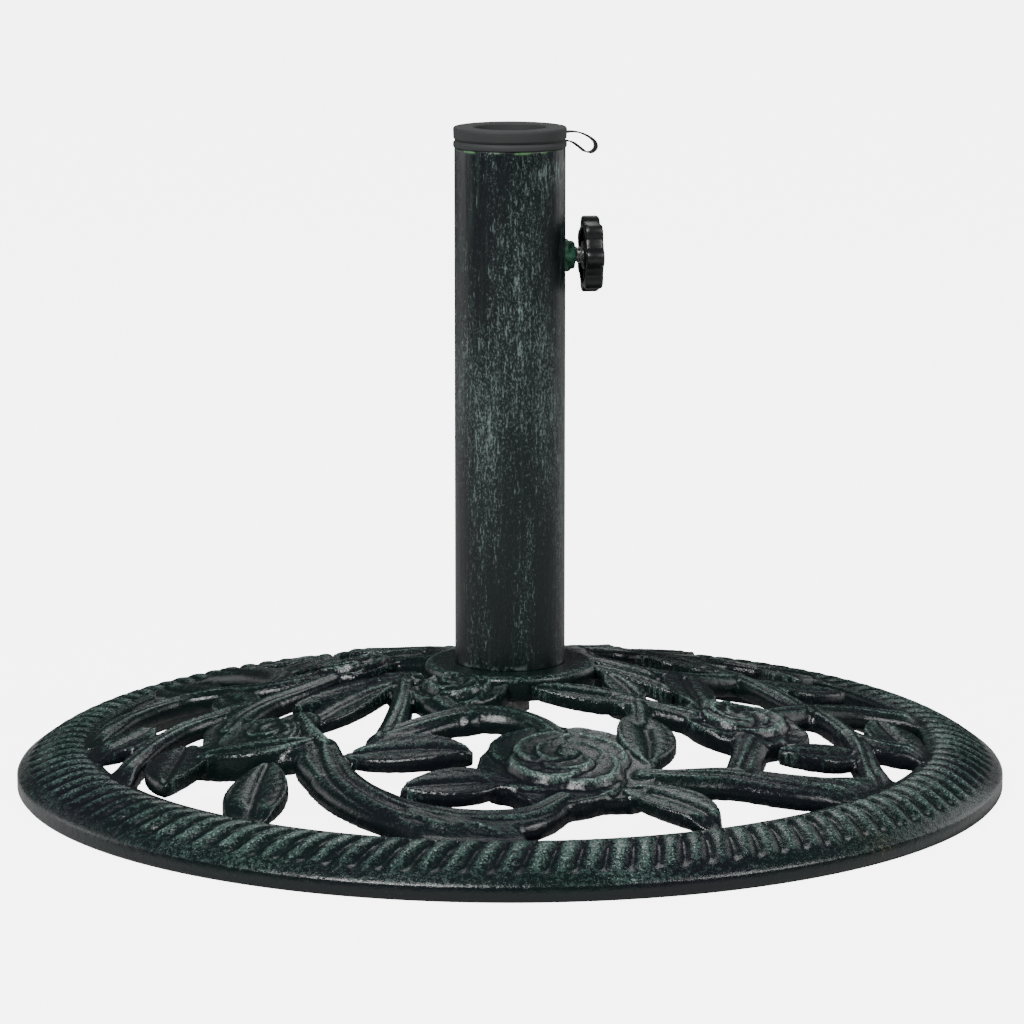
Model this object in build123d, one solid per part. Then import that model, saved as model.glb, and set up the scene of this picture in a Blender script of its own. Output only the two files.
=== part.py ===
"""Cast-iron garden parasol base: openwork rose plate, pole tube, clamp screw and two reducer rings.

Origin: centre of the footprint, on the ground. +Z is up the pole, +X points along the clamp screw.
All lengths are in millimetres.
"""
import os
from math import hypot, pi, sin

from build123d import *

# Plate casting
RIM_R = 240.0
RIM_INNER_R = 201.0
RIM_PROFILE = [(203, 19.0), (208, 20.2), (214, 20.2), (220, 18.8), (226, 16.3), (232, 13.0), (237, 9.5),
               (240, 7.0)]
RIM_INNER_Z = 16.5
DOME_EDGE_R, DOME_EDGE_Z = 207.0, 21.0
DOME_HUB_R, DOME_HUB_Z = 38.0, 54.3
DOME_THICKNESS = 8.0
BOSS_R, BOSS_TOP, BOSS_THICKNESS = 41.6, 58.0, 12.0
BOSS_FILLET = 2.5
PATTERN_TURN = -7.0
ROSE_RELIEF = 5.0
ROSE_RELIEF_FOOT, ROSE_RELIEF_HEAD = 0.66, 0.45
ROSE_FACETS = 28
STEM_FACETS = 3

# Pole tube and what holds it to the plate
TUBE_R, TUBE_WALL, TUBE_TOP = 26.7, 1.5, 308.5
TUBE_BORE_R = TUBE_R - TUBE_WALL
END_PLATE = 8.0
BOLT_R, BOLT_HOLE_R = 6.0, 6.6
BOLT_HEAD_FLATS, BOLT_HEAD = 18.0, 7.5
FLAT_WASHER_R, FLAT_WASHER = 15.0, 2.5
SPRING_WASHER_R, SPRING_WASHER = 10.5, 3.0
SPRING_WASHER_GAP = 2.0
BOLT_STICK_OUT = 4.0

# Clamp screw, M8, level with the middle of its nut
CLAMP_Z = 256.3
SCREW_R, NUT_BORE_R, WALL_HOLE_R = 3.95, 4.0, 4.6
NUT_FLATS, NUT_FACE_X = 13.0, 31.1
PAD_X, PAD_THICKNESS, PAD_R = 18.8, 2.2, 3.4
PAD_SPIGOT_R, PAD_SPIGOT, PAD_CLEARANCE = 1.6, 3.0, 0.05
PAD_GAP = 0.1
KNOB_BACK_X, KNOB_FRONT_X = 35.0, 43.6
KNOB_CORE_R, LOBE_R, LOBES, LOBE_TURN = 15.9, 4.5, 7, -90
KNOB_R = 18.8
KNOB_POCKET_IN, KNOB_POCKET_OUT, KNOB_POCKET = 6.8, 13.4, 5.0
SPOKES, SPOKE_WIDTH, SPOKE_ROOT = 7, 2.6, 1.0
KNOB_DOME_R, KNOB_DOME, KNOB_DOME_TAPER = 8.5, 1.1, 45
SCREW_END_X = 41.5
WELD_R, WELD_LENGTH = 3.0, 7.8

# Reducer rings and the strap that keeps them together
FLANGE_R, FLANGE_BEVEL = 27.3, 0.9
LOWER_FLANGE_TOP, UPPER_FLANGE_TOP = 312.0, 318.3
RING_CLEARANCE = 0.08
LOWER_SLEEVE, UPPER_SLEEVE = 38.0, 38.0
LOWER_BORE_R, UPPER_BORE_R = 20.9, 17.15
STRAP_ANGLE, STRAP_WIDTH, STRAP_THICKNESS = 12.5, 5.0, 0.8
STRAP_PATH = [(27.0, 314.6), (31.0, 315.0), (35.5, 314.3), (40.0, 312.3), (43.2, 309.6), (43.6, 306.6),
              (41.2, 304.7), (38.0, 305.3), (35.2, 307.4), (31.4, 310.0), (27.0, 311.0)]

# Ornament, in a plan turned by PATTERN_TURN. A stem is its centre line and its widths along it.
STEMS = {
    "west_sweep": ([(-190, -104), (-180, -78), (-171, -50), (-158, -28), (-142, -16), (-128, -10)],
                   [26, 15, 14, 14, 15, 18]),
    "west_branch": ([(-135, -52), (-131, -32), (-121, -12), (-104, 4), (-90, 22)], [16, 18, 18, 17, 18]),
    "bud_stalk": ([(-146, -74), (-128, -86), (-108, -92), (-90, -98)], [12, 16, 18, 20]),
    "trunk": ([(-90, -92), (-86, -112), (-79, -136), (-66, -158), (-46, -178), (-18, -188), (8, -184),
               (24, -165)], [20, 21, 24, 25, 26, 25, 21, 14]),
    "trunk_root": ([(-44, -180), (-24, -196), (-4, -205)], [26, 31, 24]),
    "leaf_j_stalk": ([(-96, -98), (-94, -114), (-88, -132)], [10, 10, 8]),
    "arch_to_rose": ([(-58, -92), (-42, -80), (-22, -71), (-2, -73), (14, -84), (22, -96)],
                     [20, 19, 17, 15, 15, 15]),
    "arch_link": ([(-52, -18), (-52, -45), (-54, -70), (-56, -88)], [12, 11, 14, 18]),
    "rose_c_link": ([(-34, -54), (-28, -64), (-20, -74)], [16, 15, 14]),
    "east_link": ([(54, -46), (66, -48), (88, -52)], [14, 15, 18]),
    "leaf_q_link": ([(60, -46), (61, -60), (62, -76)], [14, 14, 14]),
    "rose_b_neck": ([(114, -74), (111, -96), (108, -120)], [18, 16, 18]),
    "east_vine": ([(62, -136), (82, -132), (104, -126), (128, -126), (150, -122), (180, -116)],
                  [14, 18, 23, 27, 28, 44]),
    "east_riser": ([(176, -116), (170, -88), (168, -64), (164, -40), (157, -20), (148, -2)],
                   [24, 14, 13, 13, 14, 15]),
    "east_arm": ([(124, -30), (138, -12), (152, 2), (170, 16), (198, 28)], [16, 16, 17, 16, 20]),
    "leaf_w_root": ([(162, -36), (176, -46), (196, -44)], [12, 16, 22]),
    "north_east_sweep": ([(34, 128), (62, 126), (84, 100), (102, 70), (120, 42), (136, 12), (146, -8)],
                         [16, 17, 17, 17, 17, 16, 16]),
    "boss_north_east": ([(30, 34), (62, 14), (84, 20), (104, 38), (114, 56)], [18, 16, 15, 15, 16]),
    "rim_link_north_east": ([(82, 104), (108, 120), (134, 118), (164, 134)], [16, 16, 16, 26]),
    "north_vine": ([(20, 34), (30, 80), (34, 128), (48, 166), (54, 208)], [18, 17, 18, 17, 28]),
    "north_west_vine": ([(-22, 34), (-26, 78), (-40, 120), (-66, 152), (-86, 194)], [18, 16, 17, 17, 28]),
    "rose_d_link": ([(-56, 34), (-30, 22)], [14, 18]),
    "rose_d_back": ([(-74, 62), (-62, 94), (-44, 120)], [14, 14, 18]),
    "north_west_sweep": ([(-204, -16), (-188, 18), (-168, 40), (-144, 42), (-122, 30), (-94, 36)],
                         [22, 14, 14, 14, 15, 20]),
    "north_west_rim": ([(-116, 32), (-114, 60), (-126, 94), (-146, 124), (-160, 142)], [14, 15, 16, 18, 30]),
}

# A leaf is its base, its tip, its width and how far it bows to the left of the line between them.
LEAVES = {
    "leaf_c": ((-42, -20), (-66, -6), 17, 0.05),
    "leaf_e": ((-94, -64), (-56, -27), 23, 0.14),
    "leaf_e0": ((-50, -16), (-105, -34), 24, -0.24),
    "leaf_f": ((-76, -110), (-17, -120), 31, 0.18),
    "leaf_g": ((-2, -148), (-50, -156), 30, -0.08),
    "leaf_j": ((-118, -176), (-112, -108), 30, 0.04),
    "leaf_l": ((-154, -62), (-160, -120), 30, 0.0),
    "leaf_n": ((-202, -52), (-172, -22), 30, -0.1),
    "leaf_q": ((60, -64), (64, -124), 28, 0.08),
    "leaf_r": ((52, -150), (95, -188), 28, 0.24),
    "leaf_s": ((68, -46), (10, -44), 21, 0.05),
    "leaf_t": ((60, -46), (46, -12), 19, -0.12),
    "leaf_t2": ((36, 4), (78, -28), 16, 0.2),
    "leaf_t3": ((34, 18), (72, 2), 16, 0.1),
    "leaf_u": ((166, -66), (126, -90), 24, 0.12),
    "leaf_w": ((194, -52), (179, -4), 29, 0.06),
    "leaf_x": ((92, -38), (84, 26), 25, 0.05),
    "leaf_west": ((-128, -12), (-141, 18), 24, 0.0),
    "leaf_north_west_1": ((-114, 58), (-88, 106), 28, 0.1),
    "leaf_north_west_2": ((-138, 116), (-98, 142), 27, -0.1),
    "leaf_north_west_3": ((-146, 42), (-176, 82), 30, 0.1),
    "leaf_north_1": ((-26, 84), (8, 104), 24, 0.1),
    "leaf_north_2": ((-44, 128), (-92, 136), 25, -0.1),
    "leaf_north_east_1": ((106, 66), (62, 62), 27, 0.1),
    "leaf_north_east_2": ((122, 36), (168, 62), 29, -0.1),
    "leaf_north_east_3": ((132, 118), (146, 74), 27, 0.1),
    "leaf_north_east_4": ((64, 122), (96, 168), 29, 0.1),
}

ROSES = {
    "rose_a": ((27, -128), 42),
    "rose_b": ((112, -50), 30),
    "rose_c": ((-24, -38), 23),
    "rose_d": ((-77, 42), 26),
    "rose_north": ((4, 160), 33),
}

BUD = [(-147, -78), (-144, -56), (-135, -40), (-124, -35), (-113, -41), (-104, -54), (-97, -68), (-91, -82),
       (-87, -98), (-102, -102), (-122, -102), (-138, -98)]


def outline_face(left, right):
    """The flat face between two sides that run the same way and may meet at their ends."""
    corners = left + [corner for corner in reversed(right) if corner not in (left[0], left[-1])]
    return make_face(Polyline(*corners, close=True))


def stem_face(points, widths):
    """Plan of a stem from its centre line and its widths, which are spread evenly along it."""
    centre = Spline(*points)
    facets = STEM_FACETS * (len(points) - 1)
    left, right = [], []
    for i in range(facets + 1):
        place, along = centre @ (i / facets), centre % (i / facets)
        span = i / facets * (len(widths) - 1)
        before = min(int(span), len(widths) - 2)
        half = (widths[before] + (span - before) * (widths[before + 1] - widths[before])) / 2
        left.append((place.X - half * along.Y, place.Y + half * along.X))
        right.append((place.X + half * along.Y, place.Y - half * along.X))
    return outline_face(left, right)


def leaf_face(base, tip, width, bow):
    """Plan of a pointed leaf on a bowed midrib."""
    length = hypot(tip[0] - base[0], tip[1] - base[1])
    along = ((tip[0] - base[0]) / length, (tip[1] - base[1]) / length)
    left, right = [], []
    for s in (0.0, 0.1, 0.25, 0.4, 0.55, 0.7, 0.84, 0.94, 1.0):
        half = width / 2 * max(0.2 * (1 - s), sin(pi * s ** 0.85) ** 0.72 if 0 < s < 1 else 0)
        middle = 2 * bow * length * s * (1 - s)
        for side, sign in ((left, 1), (right, -1)):
            away = middle + sign * half
            side.append((base[0] + s * length * along[0] - away * along[1],
                         base[1] + s * length * along[1] + away * along[0]))
    return outline_face(left, right)


def rose_face(centre, radius):
    """Plan of a rose, a round outline in short facets."""
    return Pos(*centre) * RegularPolygon(radius, ROSE_FACETS)


def ornament_plan():
    """Every stem, leaf and flower of the openwork, joined in one plan."""
    faces = [stem_face(*stem) for stem in STEMS.values()]
    faces += [leaf_face(*leaf) for leaf in LEAVES.values()]
    faces += [rose_face(*rose) for rose in ROSES.values()]
    faces.append(make_face(Polyline(*BUD, close=True)))
    return Sketch() + faces


def dome_z(radius):
    """Height of the dome's top surface at a radius."""
    return DOME_EDGE_Z + (DOME_HUB_Z - DOME_EDGE_Z) * (DOME_EDGE_R - radius) / (DOME_EDGE_R - DOME_HUB_R)


def turned(profile):
    """Solid turned about Z from a closed profile of radius and height."""
    return revolve(Plane.XZ * make_face(Polyline(*profile, close=True)), Axis.Z)


def dome_shell():
    """The sloping sheet that the openwork is cut from."""
    hub = (DOME_HUB_R, DOME_HUB_Z)
    edge = (DOME_EDGE_R, DOME_EDGE_Z)
    return turned([hub, edge, (edge[0], edge[1] - DOME_THICKNESS), (hub[0], hub[1] - DOME_THICKNESS)])


def rim():
    """The heavy round rim, flat underneath."""
    return turned([(RIM_INNER_R, 0), (RIM_INNER_R, RIM_INNER_Z)] + RIM_PROFILE + [(RIM_R, 0)])


def rose_relief(centre, radius):
    """The raised heart of a rose, a low cone half sunk in the dome."""
    height = dome_z(hypot(*centre))
    cone = Cone(ROSE_RELIEF_FOOT * radius, ROSE_RELIEF_HEAD * radius, 2 * ROSE_RELIEF)
    return Pos(centre[0], centre[1], height) * cone


def boss():
    """Round hub that the tube stands on."""
    disc = Pos(0, 0, BOSS_TOP - BOSS_THICKNESS / 2) * Cylinder(BOSS_R, BOSS_THICKNESS)
    return fillet(disc.edges().group_by(Axis.Z)[-1], BOSS_FILLET)


def base_casting():
    """The plate: rim, openwork dome, roses and hub in one casting, with the bolt hole."""
    openwork = extrude(ornament_plan(), BOSS_TOP + ROSE_RELIEF) & dome_shell()
    reliefs = [rose_relief(*rose) for rose in ROSES.values()]
    pattern = Rot(0, 0, PATTERN_TURN) * (openwork + reliefs)
    hole = Pos(0, 0, BOSS_TOP) * Cylinder(BOLT_HOLE_R, 4 * BOSS_THICKNESS)
    return rim() + pattern + boss() - hole


def ring(outer, inner, low, high):
    """Plain ring between two heights."""
    return Pos(0, 0, (low + high) / 2) * (Cylinder(outer, high - low) - Cylinder(inner, high - low))


def along_x(shape, start):
    """Turn a shape that stands on Z = 0 so that it points along +X from start, level with the clamp."""
    return Pos(start, 0, CLAMP_Z) * Rot(0, 90, 0) * shape


def rod(radius, length):
    """Cylinder that stands on Z = 0."""
    return extrude(Circle(radius), length)


def tube():
    """Steel pole tube with the clamp screw's hole."""
    hole = along_x(rod(WALL_HOLE_R, TUBE_R), TUBE_BORE_R / 2)
    return ring(TUBE_R, TUBE_BORE_R, BOSS_TOP, TUBE_TOP) - hole


def tube_end_plate():
    """Tapped steel disc welded inside the foot of the tube."""
    return ring(TUBE_BORE_R, BOLT_R, BOSS_TOP, BOSS_TOP + END_PLATE)


def washer_heights():
    """Undersides of the hub, of the flat washer and of the spring washer."""
    hub = BOSS_TOP - BOSS_THICKNESS
    return hub, hub - FLAT_WASHER, hub - FLAT_WASHER - SPRING_WASHER


def centre_bolt():
    """Hexagon bolt that pulls the tube down on the hub."""
    seat = washer_heights()[2]
    hexagon = RegularPolygon(BOLT_HEAD_FLATS / 2, 6, major_radius=False)
    head = Pos(0, 0, seat - BOLT_HEAD) * extrude(hexagon, BOLT_HEAD)
    shank = Pos(0, 0, seat) * rod(BOLT_R, BOSS_TOP + END_PLATE + BOLT_STICK_OUT - seat)
    return head + shank


def flat_washer():
    """Wide washer under the hub."""
    hub, seat, _ = washer_heights()
    return ring(FLAT_WASHER_R, BOLT_HOLE_R, seat, hub)


def spring_washer():
    """Split washer between the bolt's head and the flat washer."""
    _, top, bottom = washer_heights()
    split = Box(2 * SPRING_WASHER_R, SPRING_WASHER_GAP, 2 * SPRING_WASHER)
    whole = ring(SPRING_WASHER_R, BOLT_HOLE_R, bottom, top)
    return whole - Pos(SPRING_WASHER_R, 0, (top + bottom) / 2) * split


def tube_cylinder():
    """The tube's outer cylinder, which the nut and its welds are fitted to."""
    return Pos(0, 0, CLAMP_Z) * Cylinder(TUBE_R, 4 * NUT_FLATS)


def nut_block():
    """Hexagon of the clamp nut, from inside the tube's surface to its outer face, with a point upwards."""
    start = TUBE_R - TUBE_WALL
    hexagon = RegularPolygon(NUT_FLATS / 2, 6, major_radius=False)
    return along_x(extrude(hexagon, NUT_FACE_X - start), start) - tube_cylinder()


def clamp_nut():
    """Nut welded to the tube, with the clamp screw's thread bore."""
    return nut_block() - along_x(rod(NUT_BORE_R, NUT_FACE_X), 0)


def nut_welds():
    """Two weld beads in the corner between the nut and the tube."""
    bead = Cylinder(WELD_R, WELD_LENGTH)
    beads = [Pos(TUBE_R, side * NUT_FLATS / 2, CLAMP_Z) * bead for side in (-1, 1)]
    return Part() + beads - tube_cylinder() - nut_block()


def swivel_pad():
    """Pad on the screw's tip that presses on the pole and doesn't turn."""
    disc = along_x(rod(PAD_R, PAD_THICKNESS), PAD_X)
    spigot = along_x(rod(PAD_SPIGOT_R, PAD_SPIGOT + PAD_THICKNESS), PAD_X)
    return disc + spigot


def clamp_screw():
    """M8 clamp screw with a socket for the pad's spigot."""
    start = PAD_X + PAD_THICKNESS + PAD_GAP
    shaft = along_x(rod(SCREW_R, SCREW_END_X - start), start)
    return shaft - along_x(rod(PAD_SPIGOT_R + PAD_CLEARANCE, PAD_SPIGOT + 2 * PAD_GAP), start - PAD_GAP)


def knob_outline():
    """Star outline: a round core with lobes."""
    lobes = PolarLocations(KNOB_R - LOBE_R, LOBES, start_angle=LOBE_TURN) * Circle(LOBE_R)
    return Circle(KNOB_CORE_R) + lobes


def clamp_knob():
    """Lobed knob, hollow at the back with spokes, domed at the front, moulded on the screw."""
    thickness = KNOB_FRONT_X - KNOB_BACK_X
    body = extrude(knob_outline(), thickness)
    pocket = rod(KNOB_POCKET_OUT, KNOB_POCKET) - rod(KNOB_POCKET_IN, KNOB_POCKET)
    middle = (KNOB_POCKET_IN + KNOB_POCKET_OUT) / 2
    spoke = Box(KNOB_POCKET_OUT - KNOB_POCKET_IN + 2 * SPOKE_ROOT, SPOKE_WIDTH, 2 * KNOB_POCKET)
    pocket -= PolarLocations(middle, SPOKES, start_angle=LOBE_TURN) * spoke
    dome = Pos(0, 0, thickness) * extrude(Circle(KNOB_DOME_R), KNOB_DOME, taper=KNOB_DOME_TAPER)
    return along_x(body - pocket + dome, KNOB_BACK_X) - along_x(rod(SCREW_R, SCREW_END_X), 0)


def reducer(bore, sleeve_r, sleeve, low, high):
    """Flanged reducer ring: its flange from low to high and its sleeve below it."""
    bevel_r, bevel_z = FLANGE_R - FLANGE_BEVEL, high - FLANGE_BEVEL
    sleeve_side = [(bore, low - sleeve), (sleeve_r, low - sleeve), (sleeve_r, low)]
    flange_side = [(bevel_r, low), (FLANGE_R, low + FLANGE_BEVEL), (FLANGE_R, bevel_z), (bevel_r, high)]
    return turned(sleeve_side + flange_side + [(bore, high)])


def lower_reducer():
    """Reducer that drops into the tube."""
    return reducer(LOWER_BORE_R, TUBE_BORE_R - RING_CLEARANCE, LOWER_SLEEVE, TUBE_TOP, LOWER_FLANGE_TOP)


def upper_reducer():
    """Reducer that drops into the lower one and takes the thinnest pole."""
    sleeve_r = LOWER_BORE_R - RING_CLEARANCE
    return reducer(UPPER_BORE_R, sleeve_r, UPPER_SLEEVE, LOWER_FLANGE_TOP, UPPER_FLANGE_TOP)


def tether_strap():
    """Flat moulded strap, looped out from one reducer ring to the other."""
    ribbon = stem_face(STRAP_PATH, [STRAP_THICKNESS] * len(STRAP_PATH))
    strap = extrude(Plane.XZ * ribbon, STRAP_WIDTH / 2, both=True)
    rings = Pos(0, 0, (TUBE_TOP + UPPER_FLANGE_TOP) / 2) * Cylinder(FLANGE_R, UPPER_FLANGE_TOP - TUBE_TOP)
    return Rot(0, 0, STRAP_ANGLE) * strap - rings


PARTS = [base_casting, tube, tube_end_plate, centre_bolt, flat_washer, spring_washer, clamp_nut, nut_welds,
         swivel_pad, clamp_screw, clamp_knob, lower_reducer, upper_reducer, tether_strap]

os.makedirs("parts", exist_ok=True)
for make in PARTS:
    export_step(make(), f"parts/{make.__name__}.step")
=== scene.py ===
"""Garden parasol base: cast-iron rose openwork, pole tube, clamp screw and two reducer rings.

Lengths in the classes are in millimetres, and meshes are written in metres. Z is up the pole and X points
along the clamp screw. The ornament is laid out in a plan that is turned about Z by PATTERN_TURN.
"""
from __future__ import annotations

import logging
import math
from dataclasses import dataclass, field
from enum import Enum
from typing import Any, Callable, Iterable, Sequence

import bpy
import numpy as np
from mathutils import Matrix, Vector

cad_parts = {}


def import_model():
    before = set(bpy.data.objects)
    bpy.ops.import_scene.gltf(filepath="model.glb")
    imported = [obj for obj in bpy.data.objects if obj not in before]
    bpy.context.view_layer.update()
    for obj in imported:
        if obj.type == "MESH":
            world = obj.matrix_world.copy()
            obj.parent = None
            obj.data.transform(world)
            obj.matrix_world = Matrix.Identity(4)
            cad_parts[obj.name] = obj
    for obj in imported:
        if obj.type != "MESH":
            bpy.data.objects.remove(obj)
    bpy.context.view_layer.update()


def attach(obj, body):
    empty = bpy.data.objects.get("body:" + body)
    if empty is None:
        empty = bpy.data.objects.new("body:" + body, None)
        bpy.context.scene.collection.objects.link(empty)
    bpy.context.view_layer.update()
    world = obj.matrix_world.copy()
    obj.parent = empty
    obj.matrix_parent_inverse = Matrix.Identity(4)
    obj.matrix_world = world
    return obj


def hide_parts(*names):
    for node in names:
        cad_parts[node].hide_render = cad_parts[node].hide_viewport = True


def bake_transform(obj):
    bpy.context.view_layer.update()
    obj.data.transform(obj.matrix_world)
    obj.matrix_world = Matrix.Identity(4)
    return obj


MM = 0.001
PATTERN_TURN = math.radians(-7.0)

Point = tuple[float, float]
Colour = tuple[float, float, float]
Array = np.ndarray
log = logging.getLogger("parasol_base")


# ---------------------------------------------------------------- shader maths


class Sock:
    """An output socket of a shader node that can be used in plain arithmetic."""

    def __init__(self, ink: "Ink", socket: Any) -> None:
        """Wrap one output socket of a material."""
        self.ink = ink
        self.socket = socket

    def _math(self, operation: str, *values: Any) -> "Sock":
        """Add a Math node on the given values."""
        return self.ink.node("ShaderNodeMath", {"operation": operation}, dict(enumerate(values)))

    def __add__(self, other: Any) -> "Sock":
        """Sum."""
        return self._math("ADD", self, other)

    __radd__ = __add__

    def __mul__(self, other: Any) -> "Sock":
        """Product."""
        return self._math("MULTIPLY", self, other)

    __rmul__ = __mul__

    def __sub__(self, other: Any) -> "Sock":
        """Difference."""
        return self._math("SUBTRACT", self, other)

    def __rsub__(self, other: Any) -> "Sock":
        """Reflected difference."""
        return self._math("SUBTRACT", other, self)

    def __truediv__(self, other: Any) -> "Sock":
        """Quotient."""
        return self._math("DIVIDE", self, other)

    def absolute(self) -> "Sock":
        """This value without its sign."""
        return self._math("ABSOLUTE", self)

    def clamped(self) -> "Sock":
        """This value kept between 0 and 1."""
        return self._math("MINIMUM", self._math("MAXIMUM", self, 0.0), 1.0)

    def step(self, low: float, high: float) -> "Sock":
        """Smooth step from 0 at low to 1 at high.

        Args:
            low: value that gives 0.
            high: value that gives 1, and may be below low.

        Returns:
            The stepped value.
        """
        settings = {"interpolation_type": "SMOOTHSTEP"}
        inputs = {"Value": self, "From Min": low, "From Max": high}
        return self.ink.node("ShaderNodeMapRange", settings, inputs)


class Ink:
    """One procedural material and the nodes that make it."""

    def __init__(self, name: str) -> None:
        """Start a material with a Principled shader.

        Args:
            name: the material's name.
        """
        self.material = bpy.data.materials.new(name)
        self.material.use_nodes = True
        self.tree = self.material.node_tree
        self.shader = next(n for n in self.tree.nodes if n.type == "BSDF_PRINCIPLED")

    def node(self, kind: str, settings: dict[str, Any], inputs: dict[Any, Any], output: Any = 0) -> Sock:
        """Add a node of any kind.

        Args:
            kind: the node's type name.
            settings: attributes to set before anything is linked.
            inputs: values or links by the input's name or number.
            output: name or number of the output to return.

        Returns:
            The chosen output, ready for arithmetic.
        """
        made = self.tree.nodes.new(kind)
        for key, value in settings.items():
            setattr(made, key, value)
        for key, value in inputs.items():
            if isinstance(value, Sock):
                self.tree.links.new(value.socket, made.inputs[key])
            else:
                made.inputs[key].default_value = value
        return Sock(self, made.outputs[output])

    def place(self, stretch: Sequence[float] = (1.0, 1.0, 1.0)) -> Sock:
        """Object coordinates, in metres, multiplied by stretch."""
        coords = self.node("ShaderNodeTexCoord", {}, {}, "Object")
        return self.node("ShaderNodeVectorMath", {"operation": "MULTIPLY"}, {0: coords, 1: tuple(stretch)})

    def noise(self, scale: float, detail: float = 4.0, rough: float = 0.55,
              stretch: Sequence[float] = (1.0, 1.0, 1.0), shift: float = 0.0) -> Sock:
        """Noise that averages 0.5.

        Args:
            scale: cells to a metre.
            detail: octaves.
            rough: how strong the fine octaves are.
            stretch: factors on the three axes.
            shift: offset that makes another pattern.

        Returns:
            The noise value.
        """
        moved = self.node("ShaderNodeVectorMath", {"operation": "ADD"},
                          {0: self.place(stretch), 1: (shift,) * 3})
        inputs = {"Vector": moved, "Scale": scale, "Detail": detail, "Roughness": rough}
        return self.node("ShaderNodeTexNoise", {}, inputs, "Fac")

    def attribute(self, name: str) -> Sock:
        """A number kept on the mesh's points."""
        return self.node("ShaderNodeAttribute", {"attribute_name": name}, {}, "Fac")

    def axis(self, letter: str) -> Sock:
        """One of the object coordinates X, Y or Z, in metres."""
        return self.node("ShaderNodeSeparateXYZ", {}, {0: self.place()}, letter)

    def mix(self, amount: Any, first: Any, second: Any) -> Sock:
        """Mix two colours.

        Args:
            amount: 0 for the first colour and 1 for the second.
            first: a plain colour or a link.
            second: a plain colour or a link.

        Returns:
            The mixed colour.
        """
        fixed = {6: self._rgba(first), 7: self._rgba(second)}
        return self.node("ShaderNodeMix", {"data_type": "RGBA"}, {0: amount, **fixed}, 2)

    @staticmethod
    def _rgba(colour: Any) -> Any:
        """A plain colour with alpha; a link is passed through."""
        return colour if isinstance(colour, Sock) else (*colour, 1.0)

    def bump(self, height: Sock, depth: float, strength: float = 1.0) -> Sock:
        """Normal from a height of 0 to 1.

        Args:
            height: the height value.
            depth: metres that a height of 1 stands for.
            strength: how much of the bump is used.

        Returns:
            The normal.
        """
        return self.node("ShaderNodeBump", {}, {"Height": height, "Distance": depth, "Strength": strength})

    def finish(self, **inputs: Any) -> bpy.types.Material:
        """Set or link the shader's inputs.

        Args:
            inputs: values or links by the input's name, with spaces written as underscores.

        Returns:
            The finished material.
        """
        for key, value in inputs.items():
            socket = self.shader.inputs[key.replace("_", " ")]
            if isinstance(value, Sock):
                self.tree.links.new(value.socket, socket)
            else:
                is_colour = isinstance(value, tuple) and len(value) == 3
                socket.default_value = (*value, 1.0) if is_colour else value
        return self.material


# ---------------------------------------------------------------- finishes


@dataclass(frozen=True)
class AntiquePaint:
    """Dark green-black paint on iron with a pale green dry-brushed highlight on what stands proud."""

    name: str = "antique_iron_paint"
    slate: Colour = (0.007, 0.009, 0.013)
    green: Colour = (0.004, 0.012, 0.011)
    brushed: Colour = (0.030, 0.070, 0.058)
    pale: Colour = (0.34, 0.46, 0.42)
    rub_colour: Colour = (0.20, 0.15, 0.075)
    rub_angle: float = -52.0
    rub_radius: float = 236.0
    rub_size: float = 15.0
    grain_depth: float = 0.0006

    def build(self) -> bpy.types.Material:
        """Make the material.

        Returns:
            The material.
        """
        ink = Ink(self.name)
        raised = ink.attribute("raised")
        patches = ink.noise(16.0, 3.0, 0.6)
        speckle = ink.noise(1000.0, 3.0, 0.8)
        flakes = ink.noise(420.0, 4.0, 0.75, shift=3.0)
        cover = (raised * 0.95 + patches * 0.9 - 0.55).clamped()
        brushed = (flakes + cover * 0.32).step(0.61, 0.80)
        pale = (speckle + cover * 0.20).step(0.68, 0.77) * cover.step(0.15, 0.80)
        body = ink.mix(ink.noise(9.0, 3.0, 0.6, shift=7.0).step(0.38, 0.62), self.slate, self.green)
        colour = ink.mix(brushed * 0.75, body, self.brushed)
        colour = ink.mix(pale * 0.8, colour, self.pale)
        colour = ink.mix(self._rub(ink, flakes), colour, self.rub_colour)
        grain = ink.noise(240.0, 4.0, 0.65, shift=11.0) * 0.7 + speckle * 0.22
        rough = flakes * 0.16 + brushed * 0.16 + 0.12
        return ink.finish(Base_Color=colour, Roughness=rough, Metallic=0.0, IOR=1.52,
                          Normal=ink.bump(grain, self.grain_depth))

    def _rub(self, ink: Ink, flakes: Sock) -> Sock:
        """Mask of the small rubbed patch on the rim's outer slope.

        Args:
            ink: the material being made.
            flakes: noise that breaks up the edge.

        Returns:
            The mask, 1 where the paint is rubbed.
        """
        angle = math.radians(self.rub_angle)
        spot = tuple(MM * self.rub_radius * v for v in (math.cos(angle), math.sin(angle))) + (MM * 8,)
        away = ink.node("ShaderNodeVectorMath", {"operation": "DISTANCE"}, {0: ink.place(), 1: spot}, "Value")
        return away.step(MM * self.rub_size, 0.0) * flakes.step(0.50, 0.66) * 0.35


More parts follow.
